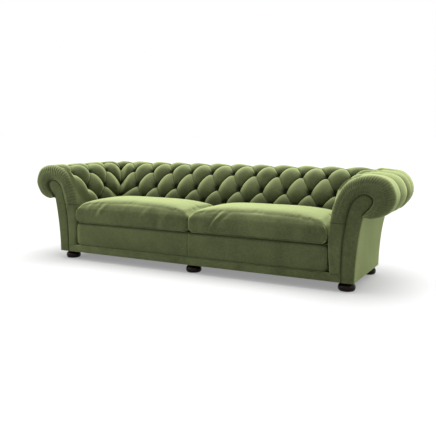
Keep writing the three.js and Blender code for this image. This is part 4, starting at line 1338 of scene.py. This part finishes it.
class SOFA_OT_dust_cover(bpy.types.Operator):
    """Adds the black cloth that is stretched under the frame"""

    bl_idname = "sofa.dust_cover"
    bl_label = "Dust cover"

    def execute(self, context):
        low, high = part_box("dust_cover")
        middle, span = (low + high) / 2, high - low
        bpy.ops.object.select_all(action="DESELECT")
        bpy.ops.mesh.primitive_grid_add(
            x_subdivisions=96, y_subdivisions=24, size=1, location=(middle.x, middle.y, high.z - 0.0006))
        piece = context.object
        piece.name = piece.data.name = "dust_cover_cloth"
        piece.scale = (span.x, span.y, 1)
        bpy.ops.object.transform_apply(location=True, rotation=True, scale=True)
        studs = [sum(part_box(name), Vector()) / 2 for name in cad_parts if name.endswith("_foot")]
        work = bmesh.new()
        work.from_mesh(piece.data)
        near = [face for face in work.faces
                if any((face.calc_center_median().xy - stud.xy).length < STUD_HOLE for stud in studs)]
        bmesh.ops.delete(work, geom=near, context="FACES")
        for corner in work.verts:
            u, v = 2 * (corner.co.x - middle.x) / span.x, 2 * (corner.co.y - middle.y) / span.y
            sag = max(0.0, 1 - u**8) * max(0.0, 1 - v**6)
            corner.co.z -= DUST_SAG * sag * (0.7 + 0.3 * math.sin(9 * u + 4 * v))
        work.to_mesh(piece.data)
        work.free()
        applied(piece, "SOLIDIFY", thickness=0.0005, offset=0.0)
        black = cloth("Dust cloth", (0.014, 0.014, 0.015), 0.0011, 0.25)
        finish_piece(piece, black, ["dust_cover"])
        return {"FINISHED"}


class SOFA_OT_frame_finish(bpy.types.Operator):
    """Finishes the beech frame and the seat springs"""

    bl_idname = "sofa.frame_finish"
    bl_label = "Frame and springs"

    def execute(self, context):
        light = context.scene.sofa_colours.beech
        dark = tuple(c * 0.72 for c in light)
        along_x, along_y, upright = (wood("Beech " + way, light, dark, 0.55, stretch) for way, stretch in (
            ("along", (1, 14, 14)), ("across", (14, 1, 14)), ("upright", (14, 14, 1))))
        for name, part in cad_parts.items():
            if name.startswith("seat_spring"):
                finish = wire("Spring wire")
            elif name.endswith(("_board", "_post")):
                finish = upright
            elif name in ("left_side_rail", "right_side_rail", "cross_rail") or "arm_t" in name:
                finish = along_y
            elif name.endswith(("_rail", "_block")):
                finish = along_x
            else:
                continue
            part.data.materials.clear()
            part.data.materials.append(finish)
        return {"FINISHED"}


# Stage

# Name, kind, power, size or angle, place and aim of each light.
LIGHTS = (
    ("Overhead light", "SUN", 3.2, math.radians(60), (0.3, 0.75, 3.6), (0.2, 0.0, 0.3)),
    ("Side light", "AREA", 16.0, 2.2, (4.0, -0.8, 1.7), (0.8, 0.0, 0.3)),
    ("Front fill", "AREA", 20.0, 2.2, (-2.9, -2.6, 1.7), (-0.9, 0.0, 0.4)),
)
CAMERA_PLACE = (2.0348, -3.8323, 0.9300)
CAMERA_TURN = (82.04, 0.0, 28.04)
CAMERA_LENS = 49.79
FLOOR_GLOW = 0.27
WORLD_LIGHT = 0.43
WHITE = (1, 1, 1, 1)


class SOFA_OT_stage(bpy.types.Operator):
    """Adds the pale floor, the white surroundings, soft studio light and the camera"""

    bl_idname = "sofa.stage"
    bl_label = "Stage"

    def execute(self, context):
        scene = context.scene
        scene.view_settings.view_transform = "Standard"
        self.floor(context)
        self.surroundings(scene)
        for name, kind, energy, size, place, aim in LIGHTS:
            lamp = bpy.data.lights.new(name, kind)
            lamp.energy = energy
            setattr(lamp, "angle" if kind == "SUN" else "size", size)
            holder = bpy.data.objects.new(name, lamp)
            holder.location = place
            holder.rotation_euler = (Vector(aim) - Vector(place)).to_track_quat("-Z", "Y").to_euler()
            scene.collection.objects.link(holder)
        data = bpy.data.cameras.new("Camera")
        data.lens, data.sensor_width, data.clip_end = CAMERA_LENS, 36.0, 300.0
        camera = bpy.data.objects.new("Camera", data)
        camera.location = CAMERA_PLACE
        camera.rotation_euler = Euler([math.radians(turn) for turn in CAMERA_TURN])
        scene.collection.objects.link(camera)
        scene.camera = camera
        return {"FINISHED"}

    def floor(self, context):
        bpy.ops.object.select_all(action="DESELECT")
        bpy.ops.mesh.primitive_plane_add(size=200, location=(0, 0, 0))
        floor = context.object
        floor.name = "floor"
        material, wires, shader = new_material("Floor")
        wires.feed(shader, {
            "Base Color": (*context.scene.sofa_colours.floor, 1),
            "Roughness": 1.0,
            "Specular IOR Level": 0.0,
            "Emission Color": WHITE,
            "Emission Strength": wires.seen_directly() * FLOOR_GLOW,
        })
        floor.data.materials.append(material)

    def surroundings(self, scene):
        """White where the world itself is seen, and dimmer as a light."""
        world = bpy.data.worlds.new("Studio")
        world.use_nodes = True
        wires = Wires(world.node_tree)
        strength = wires.seen_directly().in_range(0, 1, WORLD_LIGHT, 1.0, "LINEAR")
        wires.feed(world.node_tree.nodes["Background"], {"Color": WHITE, "Strength": strength})
        scene.world = world


PIECES = (
    SOFA_OT_stage,
    SOFA_OT_inside_back,
    SOFA_OT_inside_arms,
    SOFA_OT_buttons,
    SOFA_OT_arm_facings,
    SOFA_OT_outside_panels,
    SOFA_OT_plinth,
    SOFA_OT_seat_border,
    SOFA_OT_seat_cushions,
    SOFA_OT_feet,
    SOFA_OT_seat_platform,
    SOFA_OT_dust_cover,
    SOFA_OT_frame_finish,
)


class SOFA_PT_panel(bpy.types.Panel):
    """Lists the sofa's pieces with their sizes and colours"""

    bl_idname = "SOFA_PT_panel"
    bl_label = "Chesterfield sofa"
    bl_space_type = "VIEW_3D"
    bl_region_type = "UI"
    bl_category = "Sofa"

    def draw(self, context):
        for group in (context.scene.sofa_sizes, context.scene.sofa_colours):
            box = self.layout.box()
            for key in group.bl_rna.properties.keys():
                if key not in ("rna_type", "name"):
                    box.prop(group, key)
        for piece in PIECES:
            self.layout.operator(piece.bl_idname)


CLASSES = (SofaSizes, SofaColours, *PIECES, SOFA_PT_panel)


def register():
    for each in CLASSES:
        bpy.utils.register_class(each)
    bpy.types.Scene.sofa_sizes = PointerProperty(type=SofaSizes)
    bpy.types.Scene.sofa_colours = PointerProperty(type=SofaColours)


def unregister():
    del bpy.types.Scene.sofa_sizes
    del bpy.types.Scene.sofa_colours
    for each in reversed(CLASSES):
        bpy.utils.unregister_class(each)


def main():
    register()
    for piece in PIECES:
        group, name = piece.bl_idname.split(".")
        getattr(getattr(bpy.ops, group), name)()
    bpy.ops.object.select_all(action="DESELECT")


if __name__ == "__main__":
    main()
